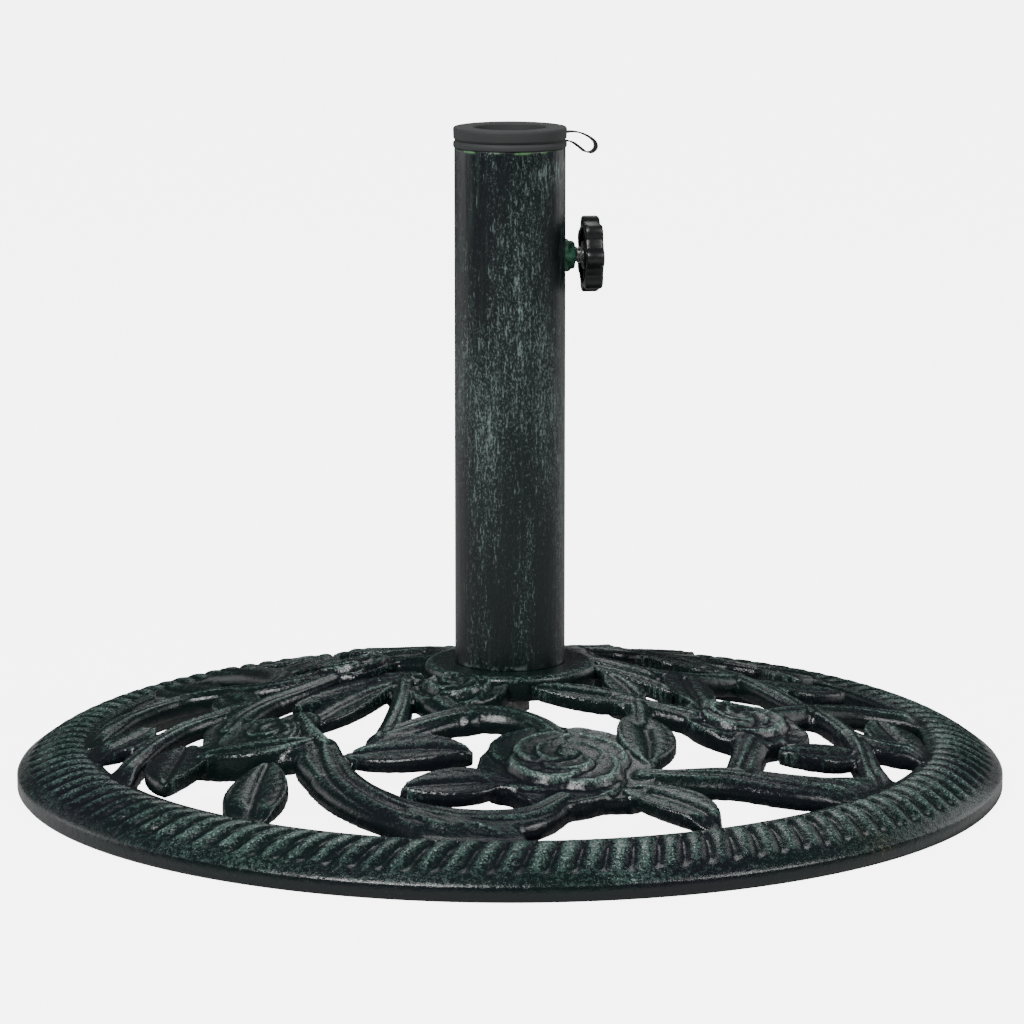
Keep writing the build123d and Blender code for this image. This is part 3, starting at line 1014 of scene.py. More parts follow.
@dataclass
class BudCarver:
    """Carves the half-open bud with its wrap petals, sepals and calyx collar."""

    relief: Relief
    depth: float = 8.5
    body_rise: float = 3.6
    edge: float = -2.5

    def carve(self) -> None:
        """Carve the bud."""
        outline = np.array(BUD_OUTLINE, float)
        part = self.relief.window(outline, 4)
        x, y = self.relief.x[part], self.relief.y[part]
        side = self._polygon_side(outline, x, y)
        rise = self.edge + self.body_rise * np.sqrt(np.clip(side / 9, 0, 1))
        self.relief.add(part, side, rise, self.depth)
        for centre, axes, turn, level, cup in (
                ((-131, -60), (15, 24), 12, 0.8, 2.0), ((-106, -72), (14, 24), -18, 1.4, 2.2),
                ((-119, -74), (19, 22), -8, 2.6, 1.6)):
            self._wrap(part, x, y, centre, axes, turn, level, cup)
        heart = RoseCarver(self.relief, depth=self.depth, heart_rise=9.0,
                           rings=((3, 0.30, 0.62, 3.2, 2.2), (3, 0.18, 0.40, 4.2, 2.0)))
        heart.carve(Rose((-113, -68), 14, 20))
        sepals = LeafCarver(self.relief, edge=1.8, depth=self.depth)
        sepals.carve(Leaf((-146, -90), (-92, -90), 17, -0.12), 2)
        collar = VineCarver(self.relief, edge=0.5, crown=4.2, flute=1.0, flutes=2.4)
        collar.carve(Stem(((-99, -55), (-94, -75), (-87, -95)), (6, 7, 7)), 5)

    def _wrap(self, part: tuple[slice, slice], x: Array, y: Array, centre: Point, axes: Point, turn: float,
              level: float, cup: float) -> None:
        """One wrap petal, an oval cup with a raised lip.

        Args:
            part: the bud's window.
            x: plan positions along X.
            y: plan positions along Y.
            centre: the petal's centre.
            axes: its half width and half length.
            turn: its turn, in degrees.
            level: height of its floor.
            cup: height of its lip over its floor.
        """
        c, s = math.cos(math.radians(turn)), math.sin(math.radians(turn))
        u, v = (x - centre[0]) * c + (y - centre[1]) * s, -(x - centre[0]) * s + (y - centre[1]) * c
        share = np.hypot(u / axes[0], v / axes[1])
        roll = smooth_step(share, 1.0, 0.92)
        rise = level + cup * np.clip(share, 0, 1) ** 4 - 1.2 * (1 - roll) + 0.8 * v / axes[1]
        self.relief.add(part, (1 - share) * min(axes), rise, self.depth, blend=0.3)

    @staticmethod
    def _polygon_side(outline: Array, x: Array, y: Array) -> Array:
        """How far points lie inside a closed outline.

        Args:
            outline: its corners, one row each.
            x: plan positions along X.
            y: plan positions along Y.

        Returns:
            Distance inside the outline, below 0 outside it.
        """
        gap = np.full(x.shape, 1e9)
        inside = np.zeros(x.shape, bool)
        for p, q in zip(outline, np.roll(outline, -1, axis=0)):
            step = q - p
            t = np.clip(((x - p[0]) * step[0] + (y - p[1]) * step[1]) / float(step @ step), 0, 1)
            gap = np.minimum(gap, np.hypot(x - p[0] - t * step[0], y - p[1] - t * step[1]))
            crosses = (p[1] > y) != (q[1] > y)
            with np.errstate(divide="ignore", invalid="ignore"):
                inside ^= crosses & (x < (q[0] - p[0]) * (y - p[1]) / (q[1] - p[1]) + p[0])
        return np.where(inside, gap, -gap)


@dataclass
class ReliefMesher:
    """Turns a relief into a closed mesh: upper face, lower face and the walls between them."""

    relief: Relief
    inner: float = 39.0
    outer: float = 208.5
    join: tuple[float, float] = (196.0, 207.0)
    join_height: float = 20.0
    limit: int = 186000

    def make(self) -> tuple[Array, list[Sequence[int]]]:
        """Vertices in plan millimetres, and faces.

        Returns:
            Points and faces of the closed shell.
        """
        relief = self.relief
        blend = smooth_step(relief.radius, *self.join)
        top = relief.top * (1 - blend) + np.minimum(relief.top, self.join_height) * blend
        relief.top = np.maximum(top, relief.dome - 4)
        side = np.minimum(relief.side, np.minimum(relief.radius - self.inner, self.outer - relief.radius))
        under = relief.dome - np.maximum(relief.depth, 4.0)
        inside = side > 0
        number = np.full(inside.shape, -1)
        number[inside] = np.arange(inside.sum())
        points = [np.column_stack([relief.x[inside], relief.y[inside], relief.top[inside], under[inside]])]
        total = int(inside.sum())
        crossings = {}
        for step in ((0, 1), (1, 0)):
            rows, columns = inside.shape[0] - step[0], inside.shape[1] - step[1]
            near = (slice(0, rows), slice(0, columns))
            far = (slice(step[0], None), slice(step[1], None))
            cut = inside[near] != inside[far]
            t = side[near][cut] / (side[near][cut] - side[far][cut])
            t = np.clip(t, 0.02, 0.98)
            first = inside[near][cut]
            place = [relief.x[near][cut] * (1 - t) + relief.x[far][cut] * t,
                     relief.y[near][cut] * (1 - t) + relief.y[far][cut] * t,
                     np.where(first, relief.top[near][cut], relief.top[far][cut]) - 0.5,
                     np.where(first, under[near][cut], under[far][cut]) + 0.7]
            points.append(np.column_stack(place))
            index = np.full(cut.shape, -1)
            index[cut] = total + np.arange(cut.sum())
            total += int(cut.sum())
            crossings[step] = index
        rows = np.vstack(points)
        shell = np.vstack([rows[:, :3], rows[:, [0, 1, 3]]])
        faces = self._faces(inside, number, crossings, total)
        return shell, faces

    @staticmethod
    def _faces(inside: Array, number: Array, crossings: dict[tuple[int, int], Array],
               total: int) -> list[Sequence[int]]:
        """Faces of every grid square, above and below, and the walls where the outline crosses a square.

        Args:
            inside: which grid points are metal.
            number: vertex numbers of those points.
            crossings: vertex numbers where the outline cuts the grid's lines, by the lines' direction.
            total: vertices in the upper face.

        Returns:
            The shell's faces.
        """
        corners = [inside[:-1, :-1], inside[:-1, 1:], inside[1:, 1:], inside[1:, :-1]]
        count = sum(c.astype(int) for c in corners)
        i, j = np.nonzero(count == 4)
        full = np.column_stack([number[i, j], number[i, j + 1], number[i + 1, j + 1], number[i + 1, j]])
        faces: list[Sequence[int]] = full.tolist() + (full[:, ::-1] + total).tolist()
        flat, upright = crossings[(0, 1)], crossings[(1, 0)]
        for i, j in zip(*np.nonzero((count > 0) & (count < 4))):
            ring = ((i, j), (i, j + 1), (i + 1, j + 1), (i + 1, j))
            edges = (flat[i, j], upright[i, j + 1], flat[i + 1, j], upright[i, j])
            polygon: list[int] = []
            for k in range(4):
                here, after = inside[ring[k]], inside[ring[(k + 1) % 4]]
                if here:
                    polygon.append(int(number[ring[k]]))
                if here != after:
                    polygon.append(int(edges[k]))
            for a, b in zip(polygon, polygon[1:] + polygon[:1]):
                if a in edges and b in edges:
                    faces.append((b, a, a + total, b + total))
            faces.append(polygon)
            faces.append([v + total for v in reversed(polygon)])
        return faces


def soften(values: Array, weight: Array, reach: int) -> Array:
    """Average of a field over a square round each cell, counting only what has weight.

    Args:
        values: the field.
        weight: how much each cell counts.
        reach: cells from a square's middle to its side.

    Returns:
        The averaged field.
    """
    def box(field_in: Array) -> Array:
        """Sum over the square, by running sums.

        Args:
            field_in: the field to sum.

        Returns:
            The sums, one a cell.
        """
        out = field_in
        for axis in (0, 1):
            pad = [(reach + 1, reach) if a == axis else (0, 0) for a in (0, 1)]
            run = np.cumsum(np.pad(out, pad), axis=axis)
            size = field_in.shape[axis]
            ahead = np.take(run, np.arange(size) + 2 * reach + 1, axis=axis)
            out = ahead - np.take(run, np.arange(size), axis=axis)
        return out
    return box(values * weight) / np.maximum(box(weight), 1e-6)


@dataclass
class Casting:
    """The cast-iron plate: rose openwork on a low dome, ribbed rim and hub."""

    rim_profile: tuple[Point, ...] = ((203, 19.0), (208, 20.2), (214, 20.2), (220, 18.8), (226, 16.3),
                                      (232, 13.0), (237, 9.5), (239.4, 7.6), (240, 6.6))
    rim_inner: float = 201.0
    ribs: int = 117
    rib_span: tuple[float, float, float, float] = (206.0, 209.5, 229.0, 235.0)
    groove: float = 1.5
    lean: float = 2.5
    columns: int = 12
    boss_radius: float = 41.6
    boss_top: float = 58.0
    boss_foot: float = 46.0
    bolt_hole: float = 6.6
    ease: float = 0.5
    easing: int = 4
    seam_gap: float = 0.05

    def build(self) -> None:
        """Build and dress the three pieces."""
        for piece in (self.openwork(), self.rim(), self.boss()):
            settle(piece, "base", "painted_iron", "base_casting")

    def openwork(self) -> bpy.types.Object:
        """The vines, leaves, roses and bud.

        Returns:
            The piece, at the origin.
        """
        relief = Relief()
        vines = VineCarver(relief)
        for seed, stem in enumerate(STEMS.values()):
            vines.carve(stem, seed)
        leaves = LeafCarver(relief)
        for seed, leaf in enumerate(LEAVES.values()):
            leaves.carve(leaf, seed)
        roses = RoseCarver(relief)
        for rose in ROSES.values():
            roses.carve(rose)
        BudCarver(relief).carve()
        mesher = ReliefMesher(relief)
        points, faces = mesher.make()
        piece = make_piece("rose_openwork", points, faces, Finish.IRON, crease=50.0)
        eased = piece.modifiers.new("eased", "SMOOTH")
        eased.factor, eased.iterations = self.ease, self.easing
        keep_result(piece)
        triangles = sum(len(face) - 2 for face in faces)
        if triangles > mesher.limit:
            thinner = piece.modifiers.new("thinner", "DECIMATE")
            thinner.ratio = mesher.limit / triangles
            keep_result(piece)
        self._mark_crests(piece, relief)
        self._turn(piece)
        piece.data.shade_smooth()
        piece.data.set_sharp_from_angle(angle=math.radians(52))
        return piece

    def _mark_crests(self, piece: bpy.types.Object, relief: Relief) -> None:
        """Store how far each point stands over its surroundings, as the attribute that the paint reads.

        Args:
            piece: the openwork, still laid out in the ornament's plan.
            relief: the field that it was made from.
        """
        metal = (relief.side > 0).astype(float)
        crest = np.zeros(relief.top.shape)
        for reach in (2, 6):
            crest += (relief.top - soften(relief.top, metal, reach)) / 1.6
        crest = np.clip(0.42 + 0.45 * crest, 0, 1)
        place = np.empty(len(piece.data.vertices) * 3)
        piece.data.vertices.foreach_get("co", place)
        place = place.reshape(-1, 3) / MM
        grid = (place[:, :2] - relief.axis[0]) / relief.pitch
        column, row = (np.clip(np.rint(grid[:, k]).astype(int), 0, len(relief.axis) - 1) for k in (0, 1))
        over = place[:, 2] - (relief.dome[row, column] - 3.4)
        values = crest[row, column] * smooth_step(over, -1.0, 0.8)
        self._store(piece, values)

    @staticmethod
    def _store(piece: bpy.types.Object, values: Array) -> None:
        """Keep the crest values on the mesh's points."""
        attribute = piece.data.attributes.new("raised", "FLOAT", "POINT")
        attribute.data.foreach_set("value", values.astype(np.float32))

    @staticmethod
    def _turn(piece: bpy.types.Object) -> None:
        """Turn a mesh laid out in the ornament's plan into the object's frame.

        Args:
            piece: the piece to turn.
        """
        place = np.empty(len(piece.data.vertices) * 3)
        piece.data.vertices.foreach_get("co", place)
        place = place.reshape(-1, 3)
        c, s = math.cos(PATTERN_TURN), math.sin(PATTERN_TURN)
        x, y = place[:, 0], place[:, 1]
        turned = np.column_stack([x * c - y * s, x * s + y * c, place[:, 2]])
        piece.data.vertices.foreach_set("co", turned.ravel())
        piece.data.update()

    def _rib_pitch(self) -> tuple[Array, list[Sequence[int]], Array]:
        """One rib and the groove beside it, as an open strip round the rim's closed section.

        Returns:
            Points, faces and how much each point stands proud.
        """
        section = np.array(self.rim_profile)
        fine = np.linspace(section[0, 0], section[-2, 0], 30)
        top = list(zip(fine, np.interp(fine, section[:, 0], section[:, 1])))
        ring = top + [tuple(section[-1]), (240.0, 1.2), (239.0, 0.0), (221.0, 0.0), (202.0, 0.0),
                      (self.rim_inner, 1.0), (self.rim_inner, 15.5), (201.6, 17.6)]
        pitch = 2 * math.pi / self.ribs
        points, crest = [], []
        low, start, stop, high = self.rib_span
        for number, (radius, height) in enumerate(ring):
            share = np.linspace(0, 1, self.columns + 1)
            fade = smooth_step(np.array(radius), low, start) * smooth_step(np.array(radius), high, stop)
            fade = float(fade) if number < len(top) else 0.0
            thick = 0.13 + 0.13 * float(smooth_step(np.array(radius), start, stop))
            dip = np.exp(-((share - 0.5) / thick) ** 2) - 0.22 * np.cos(2 * math.pi * share)
            bent = np.clip((radius - low) / (high - low), 0, 1) ** 1.2
            turn = share * pitch - math.radians(self.lean) * bent
            drop = self.groove * fade * dip
            points.append(np.column_stack([radius * np.cos(turn), radius * np.sin(turn), height - drop]))
            level = 0.52 if number < len(top) else 0.05
            crest.append(level + fade * (0.22 - 0.60 * dip))
        width = self.columns + 1
        faces = []
        for k in range(len(ring)):
            a, b = k * width, (k + 1) % len(ring) * width
            faces += [(a + i, b + i, b + i + 1, a + i + 1) for i in range(self.columns)]
        return np.vstack(points), faces, np.clip(np.concatenate(crest), 0, 1)

    def rim(self) -> bpy.types.Object:
        """The ribbed rim, one rib copied round by Geometry Nodes.

        Returns:
            The piece, at the origin.
        """
        points, faces, crest = self._rib_pitch()
        piece = make_piece("ribbed_rim", points, faces, Finish.IRON)
        self._store(piece, crest)
        tree = bpy.data.node_groups.new("copies_round_axis", "GeometryNodeTree")
        face = tree.interface
        face.new_socket("Geometry", in_out="INPUT", socket_type="NodeSocketGeometry")
        count = face.new_socket("Ribs", in_out="INPUT", socket_type="NodeSocketInt")
        merge = face.new_socket("Seam gap", in_out="INPUT", socket_type="NodeSocketFloat")
        face.new_socket("Geometry", in_out="OUTPUT", socket_type="NodeSocketGeometry")
        add, link = tree.nodes.new, tree.links.new
        source, sink = add("NodeGroupInput"), add("NodeGroupOutput")
        line, index, share = add("GeometryNodePoints"), add("GeometryNodeInputIndex"), add("ShaderNodeMath")
        whole, combine = add("ShaderNodeMath"), add("ShaderNodeCombineXYZ")
        copies, real = add("GeometryNodeInstanceOnPoints"), add("GeometryNodeRealizeInstances")
        weld, paint = add("GeometryNodeMergeByDistance"), add("GeometryNodeSetMaterial")
        share.operation, whole.operation = "DIVIDE", "MULTIPLY"
        whole.inputs[1].default_value = 2 * math.pi
        paint.inputs["Material"].default_value = Finish.IRON.material
        link(source.outputs["Ribs"], line.inputs["Count"])
        link(index.outputs[0], share.inputs[0])
        link(source.outputs["Ribs"], share.inputs[1])
        link(share.outputs[0], whole.inputs[0])
        link(whole.outputs[0], combine.inputs["Z"])
        link(line.outputs[0], copies.inputs["Points"])
        link(source.outputs["Geometry"], copies.inputs["Instance"])
        link(combine.outputs[0], copies.inputs["Rotation"])
        link(copies.outputs[0], real.inputs[0])
        link(real.outputs[0], weld.inputs["Geometry"])
        link(source.outputs["Seam gap"], weld.inputs["Distance"])
        link(weld.outputs[0], paint.inputs["Geometry"])
        link(paint.outputs[0], sink.inputs[0])
        round_axis = piece.modifiers.new("round_axis", "NODES")
        round_axis.node_group = tree
        round_axis[count.identifier] = self.ribs
        round_axis[merge.identifier] = self.seam_gap * MM
        keep_result(piece)
        piece.data.shade_smooth()
        piece.data.set_sharp_from_angle(angle=math.radians(40))
        return piece

    def boss(self) -> bpy.types.Object:
        """The round hub under the tube.

        Returns:
            The piece, at the origin.
        """
        r, top, foot = self.boss_radius, self.boss_top, self.boss_foot
        shape = [(self.bolt_hole, foot), (r - 1.0, foot), (r, foot + 1.5), (r, top - 3.0),
                 (r - 0.8, top - 1.0), (r - 3.2, top), (30.0, top), (self.bolt_hole, top)]
        rings, around = rounded(shape, 1.6, 3), 128
        points, faces = turned_grid(rings, around)
        piece = make_piece("hub", points, faces, Finish.IRON, crease=45.0)
        away = np.array([radius for radius, _ in rings for _ in range(around)])
        level = np.array([height for _, height in rings for _ in range(around)])
        lip = smooth_step(away, r - 6.5, r - 2.0) * smooth_step(level, top - 3.4, top - 1.2)
        self._store(piece, 0.18 + 0.55 * lip)
        return piece


# ---------------------------------------------------------------- the pole side


@dataclass
class PoleTube:
    """The tube, the plate in its foot and the bolt that holds it down."""

    radius: float = 26.7
    wall: float = 1.5
    foot: float = 58.0
    top: float = 308.5
    clamp_level: float = 256.3
    clamp_hole: float = 4.6
    end_plate: float = 8.0
    bolt_radius: float = 6.0
    bolt_top: float = 70.0
    washer_top: float = 46.0
    flat_thick: float = 2.5
    flat_ring: Point = (6.6, 15.0)
    washers_thick: float = 5.5
    spring_ring: Point = (6.7, 10.5)

    def build(self) -> None:
        """Build and dress the pieces."""
        settle(self.tube(), "base", "painted_steel", "tube")
        settle(self.plate(), "base", "bare_steel", "tube_end_plate")
        settle(self.bolt(), "base", "zinc_steel", "centre_bolt")
        settle(self.washer(), "base", "zinc_steel", "flat_washer")
        settle(self.spring(), "base", "zinc_steel", "spring_washer")

    def tube(self) -> bpy.types.Object:
        """Steel tube with a rounded mouth and the clamp screw's hole.

        Returns:
            The piece, at the origin.
        """
        inner = self.radius - self.wall
        levels = np.linspace(self.foot, self.top, 26)[1:-1]
        shape = rounded([(inner, self.foot), (self.radius, self.foot), (self.radius, self.top),
                         (inner, self.top)], 0.5, 3)
        outside = [(self.radius, z) for z in levels]
        inside = [(inner, z) for z in levels[::-1]]
        rings = shape[:8] + outside + shape[8:] + inside
        points, faces = turned_grid(rings, 128)
        piece = make_piece("pole_tube", points, faces, Finish.TUBE)
        rod, sides = turned_grid([(self.clamp_hole, 14.0), (self.clamp_hole, 32.0)], 32, closed=False)
        cutter = make_piece("clamp_hole_cutter", spun_about_x(rod, 0.0, self.clamp_level), sides, Finish.TUBE)
        drill = piece.modifiers.new("drill", "BOOLEAN")
        drill.operation, drill.solver, drill.object = "DIFFERENCE", "EXACT", cutter
        keep_result(piece)
        bpy.data.objects.remove(cutter)
        return piece

    def plate(self) -> bpy.types.Object:
        """Tapped disc inside the foot.

        Returns:
            The piece, at the origin.
        """
        outer, low, high = self.radius - self.wall - 0.02, self.foot, self.foot + self.end_plate
        shape = rounded([(self.bolt_radius, low), (outer, low), (outer, high), (self.bolt_radius, high)], 0.6)
        return make_piece("foot_plate", *turned_grid(shape, 96), Finish.STEEL)

    def bolt(self) -> bpy.types.Object:
        """Hexagon bolt from below.

        Returns:
            The piece, at the origin.
        """
        seat = self.washer_top - self.washers_thick
        head, half = 7.5, 9.0
        shank, tip = self.bolt_radius, self.bolt_top
        rings = [(0.6, seat - head), (half - 0.8, seat - head), (half, seat - head + 1.0), (half, seat),
                 (shank, seat), (shank, tip - 1), (shank - 1, tip), (0.6, tip)]

        def swell(number: int, angles: Array) -> Array:
            """Hexagon for the head's rings, round elsewhere.

            Args:
                number: which ring of the profile it is.
                angles: directions from the axis, in radians.

            Returns:
                Factors on the radius.
            """
            if number not in (2, 3):
                return np.ones(len(angles))
            turn = (angles + math.pi / 6) % (math.pi / 3) - math.pi / 6
            return 1 / np.cos(turn)

        return make_piece("foot_bolt", *turned_grid(rings, 72, swell, closed=False), Finish.ZINC, crease=25.0)

    def washer(self) -> bpy.types.Object:
        """Wide flat washer.

        Returns:
            The piece, at the origin.
        """
        low, high = self.washer_top - self.flat_thick, self.washer_top
        hole, edge = self.flat_ring
        shape = rounded([(hole, low), (edge, low), (edge, high), (hole, high)], 0.5)
        return make_piece("flat_washer_ring", *turned_grid(shape, 72), Finish.ZINC)

    def spring(self) -> bpy.types.Object:
        """Split spring washer, an open square coil.

        Returns:
            The piece, at the origin.
        """
        low, steps, gap = self.washer_top - self.washers_thick, 72, 0.2
        hole, edge = self.spring_ring
        points, faces = [], []
        for k in range(steps + 1):
            share = k / steps
            angle = gap / 2 + share * (2 * math.pi - gap)
            lift = (share - 0.5) * 0.3
            for radius, level in ((hole, low + 0.2), (edge, low + 0.2), (edge, low + 2.8), (hole, low + 2.8)):
                points.append((radius * math.cos(angle), radius * math.sin(angle), level + lift))
        faces += strip_faces(0, steps, 4)
        faces += [(0, 1, 2, 3), tuple(4 * steps + i for i in (3, 2, 1, 0))]
        return make_piece("spring_washer_coil", np.array(points), faces, Finish.ZINC)


@dataclass
class Clamp:
    """The welded nut, the clamp screw with its swivel pad, and the lobed knob."""

    level: float = 256.3
    tube_radius: float = 26.7
    nut_start: float = 25.3
    nut_face: float = 31.1
    nut_half: float = 6.5
    bore: float = 4.0
    screw_radius: float = 3.95
    thread_depth: float = 0.72
    thread_pitch: float = 1.25
    screw_start: float = 21.1
    screw_end: float = 41.5
    pad_start: float = 18.8
    pad_radius: float = 3.4
    knob_back: float = 35.0
    knob_thick: float = 8.6
    knob_core: float = 15.9
    lobes: int = 7
    lobe_radius: float = 4.5
    lobe_out: float = 14.3
    pocket: tuple[float, float, float] = (6.8, 13.4, 5.0)
    lobe_turn: float = 90.0

    def build(self) -> None:
        """Build and dress the pieces."""
        settle(self.nut(), "base", "painted_nut", "clamp_nut")
        settle(self.welds(), "base", "painted_nut", "nut_welds")
        settle(self.screw(), "knob", "zinc_steel", "clamp_screw")
        settle(self.knob(), "knob", "knob_plastic", "clamp_knob")
        settle(self.pad(), "pad", "pad_plastic", "swivel_pad")

    def nut(self) -> bpy.types.Object:
        """Hexagon nut under thick paint, with its edges rounded over.

        Returns:
            The piece, at the origin.
        """
        length = self.nut_face - self.nut_start
        half, bore = self.nut_half, self.bore
        rings = [(bore, 0.0), (half, 0.0), (half, length * 0.35), (half, length - 1.1),
                 (half * 0.985, length - 0.5), (half * 0.93, length - 0.1), (half * 0.86, length),
                 (bore + 0.7, length), (bore, length - 0.7)]

        def swell(number: int, angles: Array) -> Array:
            """Rounded hexagon with a corner upwards, fading to a circle at the chamfer and the bore.

            Args:
                number: which ring of the profile it is.
                angles: directions from the axis, in radians.

            Returns:
                Factors on the radius.
            """
            share = {1: 1.0, 2: 1.0, 3: 1.0, 4: 0.75, 5: 0.4}.get(number, 0.0)
            turn = (angles + math.pi / 6) % (math.pi / 3)
            side = np.minimum(1 / np.cos(turn - math.pi / 6), 1.118)
            return 1 + share * (side - 1)

        points, faces = turned_grid(rings, 96, swell)
        laid = spun_about_x(points, self.nut_start, self.level)
        return make_piece("weld_nut", laid, faces, Finish.NUT, crease=24.0)

    def welds(self) -> bpy.types.Object:
        """Two lumpy weld beads round the nut's foot.

        Returns:
            The piece, at the origin.
        """
        points: list[tuple[float, float, float]] = []
        faces: list[tuple[int, ...]] = []
        beads = ((100.0, 172.0, 7.4, 2.0), (196.0, 246.0, 7.2, 2.3), (-62.0, 40.0, 7.2, 1.5))
        for number, (start, stop, away, thick) in enumerate(beads):
            first, steps, sides = len(points), 18, 12
            for k in range(steps + 1):
                share = k / steps
                angle = math.radians(start + share * (stop - start))
                lump = 1 + 0.16 * math.sin(share * 17 + number * 2)
                girth = thick * lump * max(0.08, math.sin(math.pi * share)) ** 0.6
                across, up = away * math.cos(angle), away * math.sin(angle)
                middle = math.sqrt(self.tube_radius ** 2 - across ** 2) + 0.15 * girth
                for i in range(sides):
                    turn = 2 * math.pi * i / sides
                    reach = girth * math.cos(turn)
                    points.append((middle + girth * math.sin(turn), across + reach * math.cos(angle),
                                   self.level + up + reach * math.sin(angle)))
            faces += strip_faces(first, steps, sides)
            last = first + steps * sides
            faces += [tuple(range(first, first + sides)), tuple(reversed(range(last, last + sides)))]
        return make_piece("weld_beads", np.array(points), faces, Finish.NUT)

    def screw(self) -> bpy.types.Object:
        """Clamp screw with a right-hand thread and a socket face for the pad.

        Returns:
            The piece, at the origin.
        """
        around = 40
        length = self.screw_end - self.screw_start
        rows = np.arange(0.0, length + 0.01, self.thread_pitch / 8)
        angles = np.arange(around) * 2 * math.pi / around
        points = [np.column_stack([np.full(around, 0.0), 1.9 * np.cos(angles), 1.9 * np.sin(angles)])]
        for row in rows:
            phase = (row / self.thread_pitch - angles / (2 * math.pi)) % 1
            crest = np.clip(1.9 * (1 - np.abs(2 * phase - 1)) - 0.25, 0, 1)
            ends = min(1.0, 0.35 + row / 1.2, 0.35 + (length - row) / 1.2)
            radius = (self.screw_radius - self.thread_depth * (1 - crest)) * (1 - 0.12 * (1 - ends))
            points.append(np.column_stack([np.full(around, row), radius * np.cos(angles),
                                           radius * np.sin(angles)]))
        flat = np.vstack(points) + np.array([self.screw_start, 0.0, self.level])
        count = len(rows) + 1
        faces: list[tuple[int, ...]] = [tuple(reversed(range(around)))]
        for k in range(count - 1):
            a, b = k * around, (k + 1) * around
            faces += [(a + i, a + (i + 1) % around, b + (i + 1) % around, b + i) for i in range(around)]
        faces.append(tuple(range((count - 1) * around, count * around)))
        return make_piece("clamp_screw_thread", flat, faces, Finish.ZINC, crease=32.0)

    def _lobed(self, angles: Array) -> Array:
        """The knob's outline.

        Args:
            angles: directions from its axis, in radians.

        Returns:
            The outline over the core radius, at each angle.
        """
        pitch = 2 * math.pi / self.lobes
        turn = (angles - math.radians(self.lobe_turn) + pitch / 2) % pitch - pitch / 2
        inside = np.clip(self.lobe_radius ** 2 - (self.lobe_out * np.sin(turn)) ** 2, 0, None)
        lobe = np.where(inside > 0, self.lobe_out * np.cos(turn) + np.sqrt(inside), 0)
        return smooth_max(np.full(len(angles), self.knob_core), lobe, 1.6) / self.knob_core

    def knob(self) -> bpy.types.Object:
        """Lobed knob, hollow at the back between its hub and rim, with seven spokes.

        Returns:
            The piece, at the origin.
        """
        low, high, deep = self.pocket
        core, thick = self.knob_core, self.knob_thick
        blind = self.screw_end - self.knob_back
        bare = [(0.4, blind), (3.96, blind), (3.96, 0.4), (4.4, 0.0), (low - 0.5, 0.0), (low, 0.5),
                (low, deep), (high, deep), (high, 0.5), (high + 0.4, 0.0)]
        lobed = [(core - 0.9, 0.0), (core - 0.35, 0.2), (core, 0.8), (core, 2.2), (core, thick - 1.6),
                 (core - 0.3, thick - 0.7), (core - 0.9, thick - 0.15), (core - 1.6, thick)]
        crown = [(11.2, thick), (9.2, thick), (8.6, thick + 0.15), (7.6, thick + 0.9),
                 (6.6, thick + 1.08), (0.4, thick + 1.1)]

        def swell(number: int, angles: Array) -> Array:
            """Lobed outline on the outer rings only."""
            outer = len(bare) <= number < len(bare) + len(lobed)
            return self._lobed(angles) if outer else np.ones(len(angles))

        points, faces = turned_grid(bare + lobed + crown, 168, swell, closed=False)
        for k in range(self.lobes):
            points = np.vstack([points, self._spoke_points(k)])
            self._spoke(points, faces)
        return make_piece("lobed_knob", spun_about_x(points, self.knob_back, self.level), faces, Finish.KNOB,
                          crease=36.0)

    def _spoke_points(self, number: int) -> Array:
        """Corners of one spoke across the pocket.

        Args:
            number: which spoke it is.

        Returns:
            Three rows of four corners.
        """
        low, high, deep = self.pocket
        angle = math.radians(self.lobe_turn) + 2 * math.pi * number / self.lobes
        out = np.array([math.cos(angle), math.sin(angle)])
        side = np.array([-math.sin(angle), math.cos(angle)])
        rows = []
        for level, half in ((1.3, 0.5), (1.0, 1.1), (0.9 + deep, 1.4)):
            for reach, sign in ((low - 0.8, -1), (high + 0.8, -1), (high + 0.8, 1), (low - 0.8, 1)):
                rows.append([*(out * reach + side * half * sign), level])
        return np.array(rows)

    @staticmethod
    def _spoke(points: Array, faces: list[tuple[int, ...]]) -> None:
        """Add the faces of the spoke whose corners were added last.

        Args:
            points: the knob's points so far.
            faces: the knob's faces so far, which grow.
        """
        first = len(points) - 12
        faces.append(tuple(first + i for i in (3, 2, 1, 0)))
        for k in (0, 4):
            faces.extend(tuple(first + k + i for i in (a, (a + 1) % 4, (a + 1) % 4 + 4, a + 4))
                         for a in range(4))
        faces.append(tuple(first + 8 + i for i in (0, 1, 2, 3)))

    def pad(self) -> bpy.types.Object:
        """Swivel pad with a shallow dish, and the spigot in the screw's end.

        Returns:
            The piece, at the origin.
        """
        r = self.pad_radius
        rings = [(0.3, 0.35), (r - 1.2, 0.25), (r - 0.6, 0.0), (r - 0.1, 0.25), (r, 0.7), (r, 1.7),
                 (r - 0.4, 2.2), (1.6, 2.2), (1.6, 4.8), (1.2, 5.2), (0.3, 5.2)]
        points, faces = turned_grid(rings, 48, closed=False)
        laid = spun_about_x(points, self.pad_start, self.level)
        return make_piece("swivel_pad_disc", laid, faces, Finish.PAD)


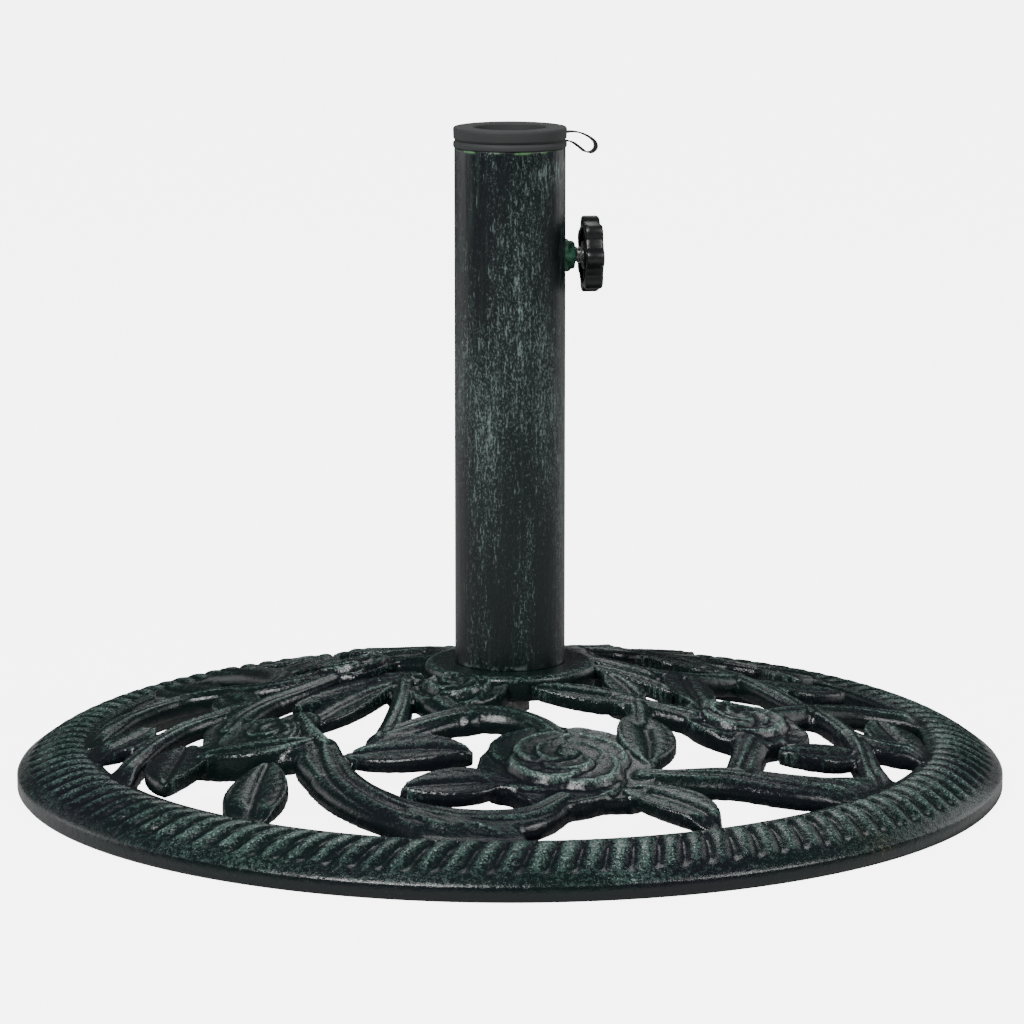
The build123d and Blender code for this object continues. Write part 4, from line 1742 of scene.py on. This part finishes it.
@dataclass
class ReducerRings:
    """The two plastic reducer rings and the moulded strap between them."""

    flange: float = 27.3
    lower_span: Point = (308.5, 312.0)
    upper_span: Point = (312.0, 318.3)
    lower_bore: float = 20.9
    upper_bore: float = 17.15
    tube_bore: float = 25.2
    sleeve: float = 38.0
    gap: float = 0.08
    strap_angle: float = 12.5
    strap_width: float = 5.0
    strap_thick: float = 0.8
    strap_path: tuple[Point, ...] = ((26.9, 314.6), (31.0, 315.0), (35.5, 314.3), (40.0, 312.3),
                                     (43.2, 309.6), (43.6, 306.6), (41.2, 304.7), (38.0, 305.3),
                                     (35.2, 307.4), (31.4, 310.0), (26.9, 311.0))
    strap_root: Point = (27.0, 311.4)
    strap_lean: Point = (0.45, 0.893)
    blend_length: float = 2.5

    def build(self) -> None:
        """Build and dress the pieces."""
        settle(self.lower(), "lower_ring", "ring_plastic", "lower_reducer")
        settle(self.upper(), "upper_ring", "ring_plastic", "upper_reducer")
        strap = self.strap()
        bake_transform(strap)
        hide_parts("tether_strap")
        log.info("%s: %d faces between the rings", strap.name, len(strap.data.polygons))

    def lower(self) -> bpy.types.Object:
        """Ring that drops into the tube. Its chamfered flange leaves a groove under the upper ring.

        Returns:
            The piece, at the origin.
        """
        low, high = self.lower_span
        bore, sleeve, r = self.lower_bore, self.tube_bore - self.gap, self.flange
        foot = low - self.sleeve
        shape = [(bore, foot), (sleeve - 0.8, foot), (sleeve, foot + 2), (sleeve, low), (r - 0.5, low),
                 (r, low + 0.6), (r, high - 1.0), (r - 0.55, high - 0.5), (r - 0.9, high), (bore, high)]
        points, faces = turned_grid(rounded(shape, 0.45, 2), 144)
        return make_piece("lower_ring_moulding", points, faces, Finish.RING, crease=50.0)

    def upper(self) -> bpy.types.Object:
        """Ring with the narrow mouth and a flat top.

        Returns:
            The piece, at the origin.
        """
        low, high = self.upper_span
        bore, sleeve, r = self.upper_bore, self.lower_bore - self.gap, self.flange
        foot = low - self.sleeve
        shape = [(bore, foot), (sleeve - 0.8, foot), (sleeve, foot + 2), (sleeve, low), (r - 0.9, low),
                 (r - 0.5, low + 0.7), (r - 0.15, low + 1.2), (r, high - 1.0), (r - 0.15, high - 0.35),
                 (r - 0.55, high), (bore + 0.6, high), (bore, high - 0.6)]
        points, faces = turned_grid(rounded(shape, 0.15, 2), 144)
        return make_piece("upper_ring_moulding", points, faces, Finish.RING, crease=50.0)

    def strap(self) -> bpy.types.Object:
        """Flat strap that loops out and back in one upright plane.

        Returns:
            The piece, at the origin.
        """
        line = Stem(self.strap_path, (1.0, 1.0)).centre_line(9)
        ahead = np.gradient(line, axis=0)
        ahead /= np.linalg.norm(ahead, axis=1)[:, None]
        across = np.column_stack([-ahead[:, 1], ahead[:, 0]])
        half, thin = self.strap_width / 2, self.strap_thick / 2
        section = rounded([(-half, -thin), (half, -thin), (half, thin), (-half, thin)], 0.3, 2)
        angle = math.radians(self.strap_angle)
        points = []
        for place, normal in zip(line, across):
            for wide, deep in section:
                reach = place[0] + normal[0] * deep
                points.append((reach * math.cos(angle) - wide * math.sin(angle),
                               reach * math.sin(angle) + wide * math.cos(angle), place[1] + normal[1] * deep))
        sides = len(section)
        faces: list[tuple[int, ...]] = []
        faces += strip_faces(0, len(line) - 1, sides)
        last = (len(line) - 1) * sides
        faces += [tuple(range(sides)), tuple(reversed(range(last, last + sides)))]
        return make_piece("ring_strap", np.array(points), faces, Finish.STRAP, crease=60.0)


# ---------------------------------------------------------------- studio


@dataclass
class Studio:
    """Pale floor, soft lights and the camera."""

    lens: float = 164.6
    sensor: float = 36.0
    distance: float = 2.2324
    height: float = 0.537
    pitch: float = 0.1798
    azimuth: float = -7.0
    shift_x: float = 0.0020
    sky_light: float = 0.045
    backdrop: float = 6.0
    floor_reach: float = 30000.0
    aim: float = 0.12

    def build(self) -> None:
        """Make the floor, lights, sky and camera."""
        self._floor()
        self._sky()
        self._light("key", (-0.9, -1.0, 1.6), 0.5, 40.0)
        self._light("fill", (1.2, -0.8, 1.2), 0.6, 14.0)
        self._light("back", (0.2, 1.2, 1.5), 0.6, 5.0)
        self._light("left_edge", (-1.5, 0.9, 0.5), 0.9, 4.0)
        self._light("right_edge", (1.5, 0.9, 0.5), 0.9, 4.0)
        self._camera()

    def _floor(self) -> None:
        """Wide floor at the object's foot."""
        reach = self.floor_reach
        corners = np.array([(-reach, -reach, 0), (reach, -reach, 0), (reach, reach, 0), (-reach, reach, 0)])
        make_piece("studio_floor", corners, [(0, 1, 2, 3)], Finish.FLOOR)

    def _sky(self) -> None:
        """White backdrop that lights the object only faintly, as in a studio with dark walls."""
        world = bpy.data.worlds.new("studio_sky")
        bpy.context.scene.world = world
        world.use_nodes = True
        tree = world.node_tree
        background = next(n for n in tree.nodes if n.type == "BACKGROUND")
        path = tree.nodes.new("ShaderNodeLightPath")
        level = tree.nodes.new("ShaderNodeMapRange")
        level.inputs["To Min"].default_value = self.sky_light
        level.inputs["To Max"].default_value = self.backdrop
        tree.links.new(path.outputs["Is Camera Ray"], level.inputs["Value"])
        tree.links.new(level.outputs[0], background.inputs["Strength"])
        background.inputs["Color"].default_value = (1.0, 1.0, 1.0, 1.0)

    def _light(self, name: str, place: Sequence[float], size: float, power: float) -> None:
        """Square soft light aimed at a point on the tube's axis.

        Args:
            name: its name.
            place: where it stands, in metres.
            size: length of its side, in metres.
            power: its power, in watts.
        """
        lamp = bpy.data.lights.new(name, "AREA")
        lamp.size, lamp.energy = size, power
        made = bpy.data.objects.new(name, lamp)
        made.location = place
        made.rotation_euler = (Vector((0, 0, self.aim)) - Vector(place)).to_track_quat("-Z", "Y").to_euler()
        bpy.context.scene.collection.objects.link(made)

    def _camera(self) -> None:
        """Long lens, slightly above the plate."""
        lens = bpy.data.cameras.new("camera")
        lens.lens, lens.sensor_width, lens.shift_x = self.lens, self.sensor, self.shift_x
        made = bpy.data.objects.new("camera", lens)
        turn = math.radians(self.azimuth)
        made.location = (math.sin(turn) * self.distance, -math.cos(turn) * self.distance, self.height)
        made.rotation_euler = (math.pi / 2 - self.pitch, 0.0, turn)
        bpy.context.scene.collection.objects.link(made)
        bpy.context.scene.camera = made


def main() -> None:
    """Build every sub-assembly in order."""
    logging.basicConfig(level=logging.INFO, format="%(name)s: %(message)s")
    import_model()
    for assembly in (Studio(), Casting(), PoleTube(), Clamp(), ReducerRings()):
        assembly.build()
        log.info("%s built", type(assembly).__name__)


if __name__ == "__main__":
    main()
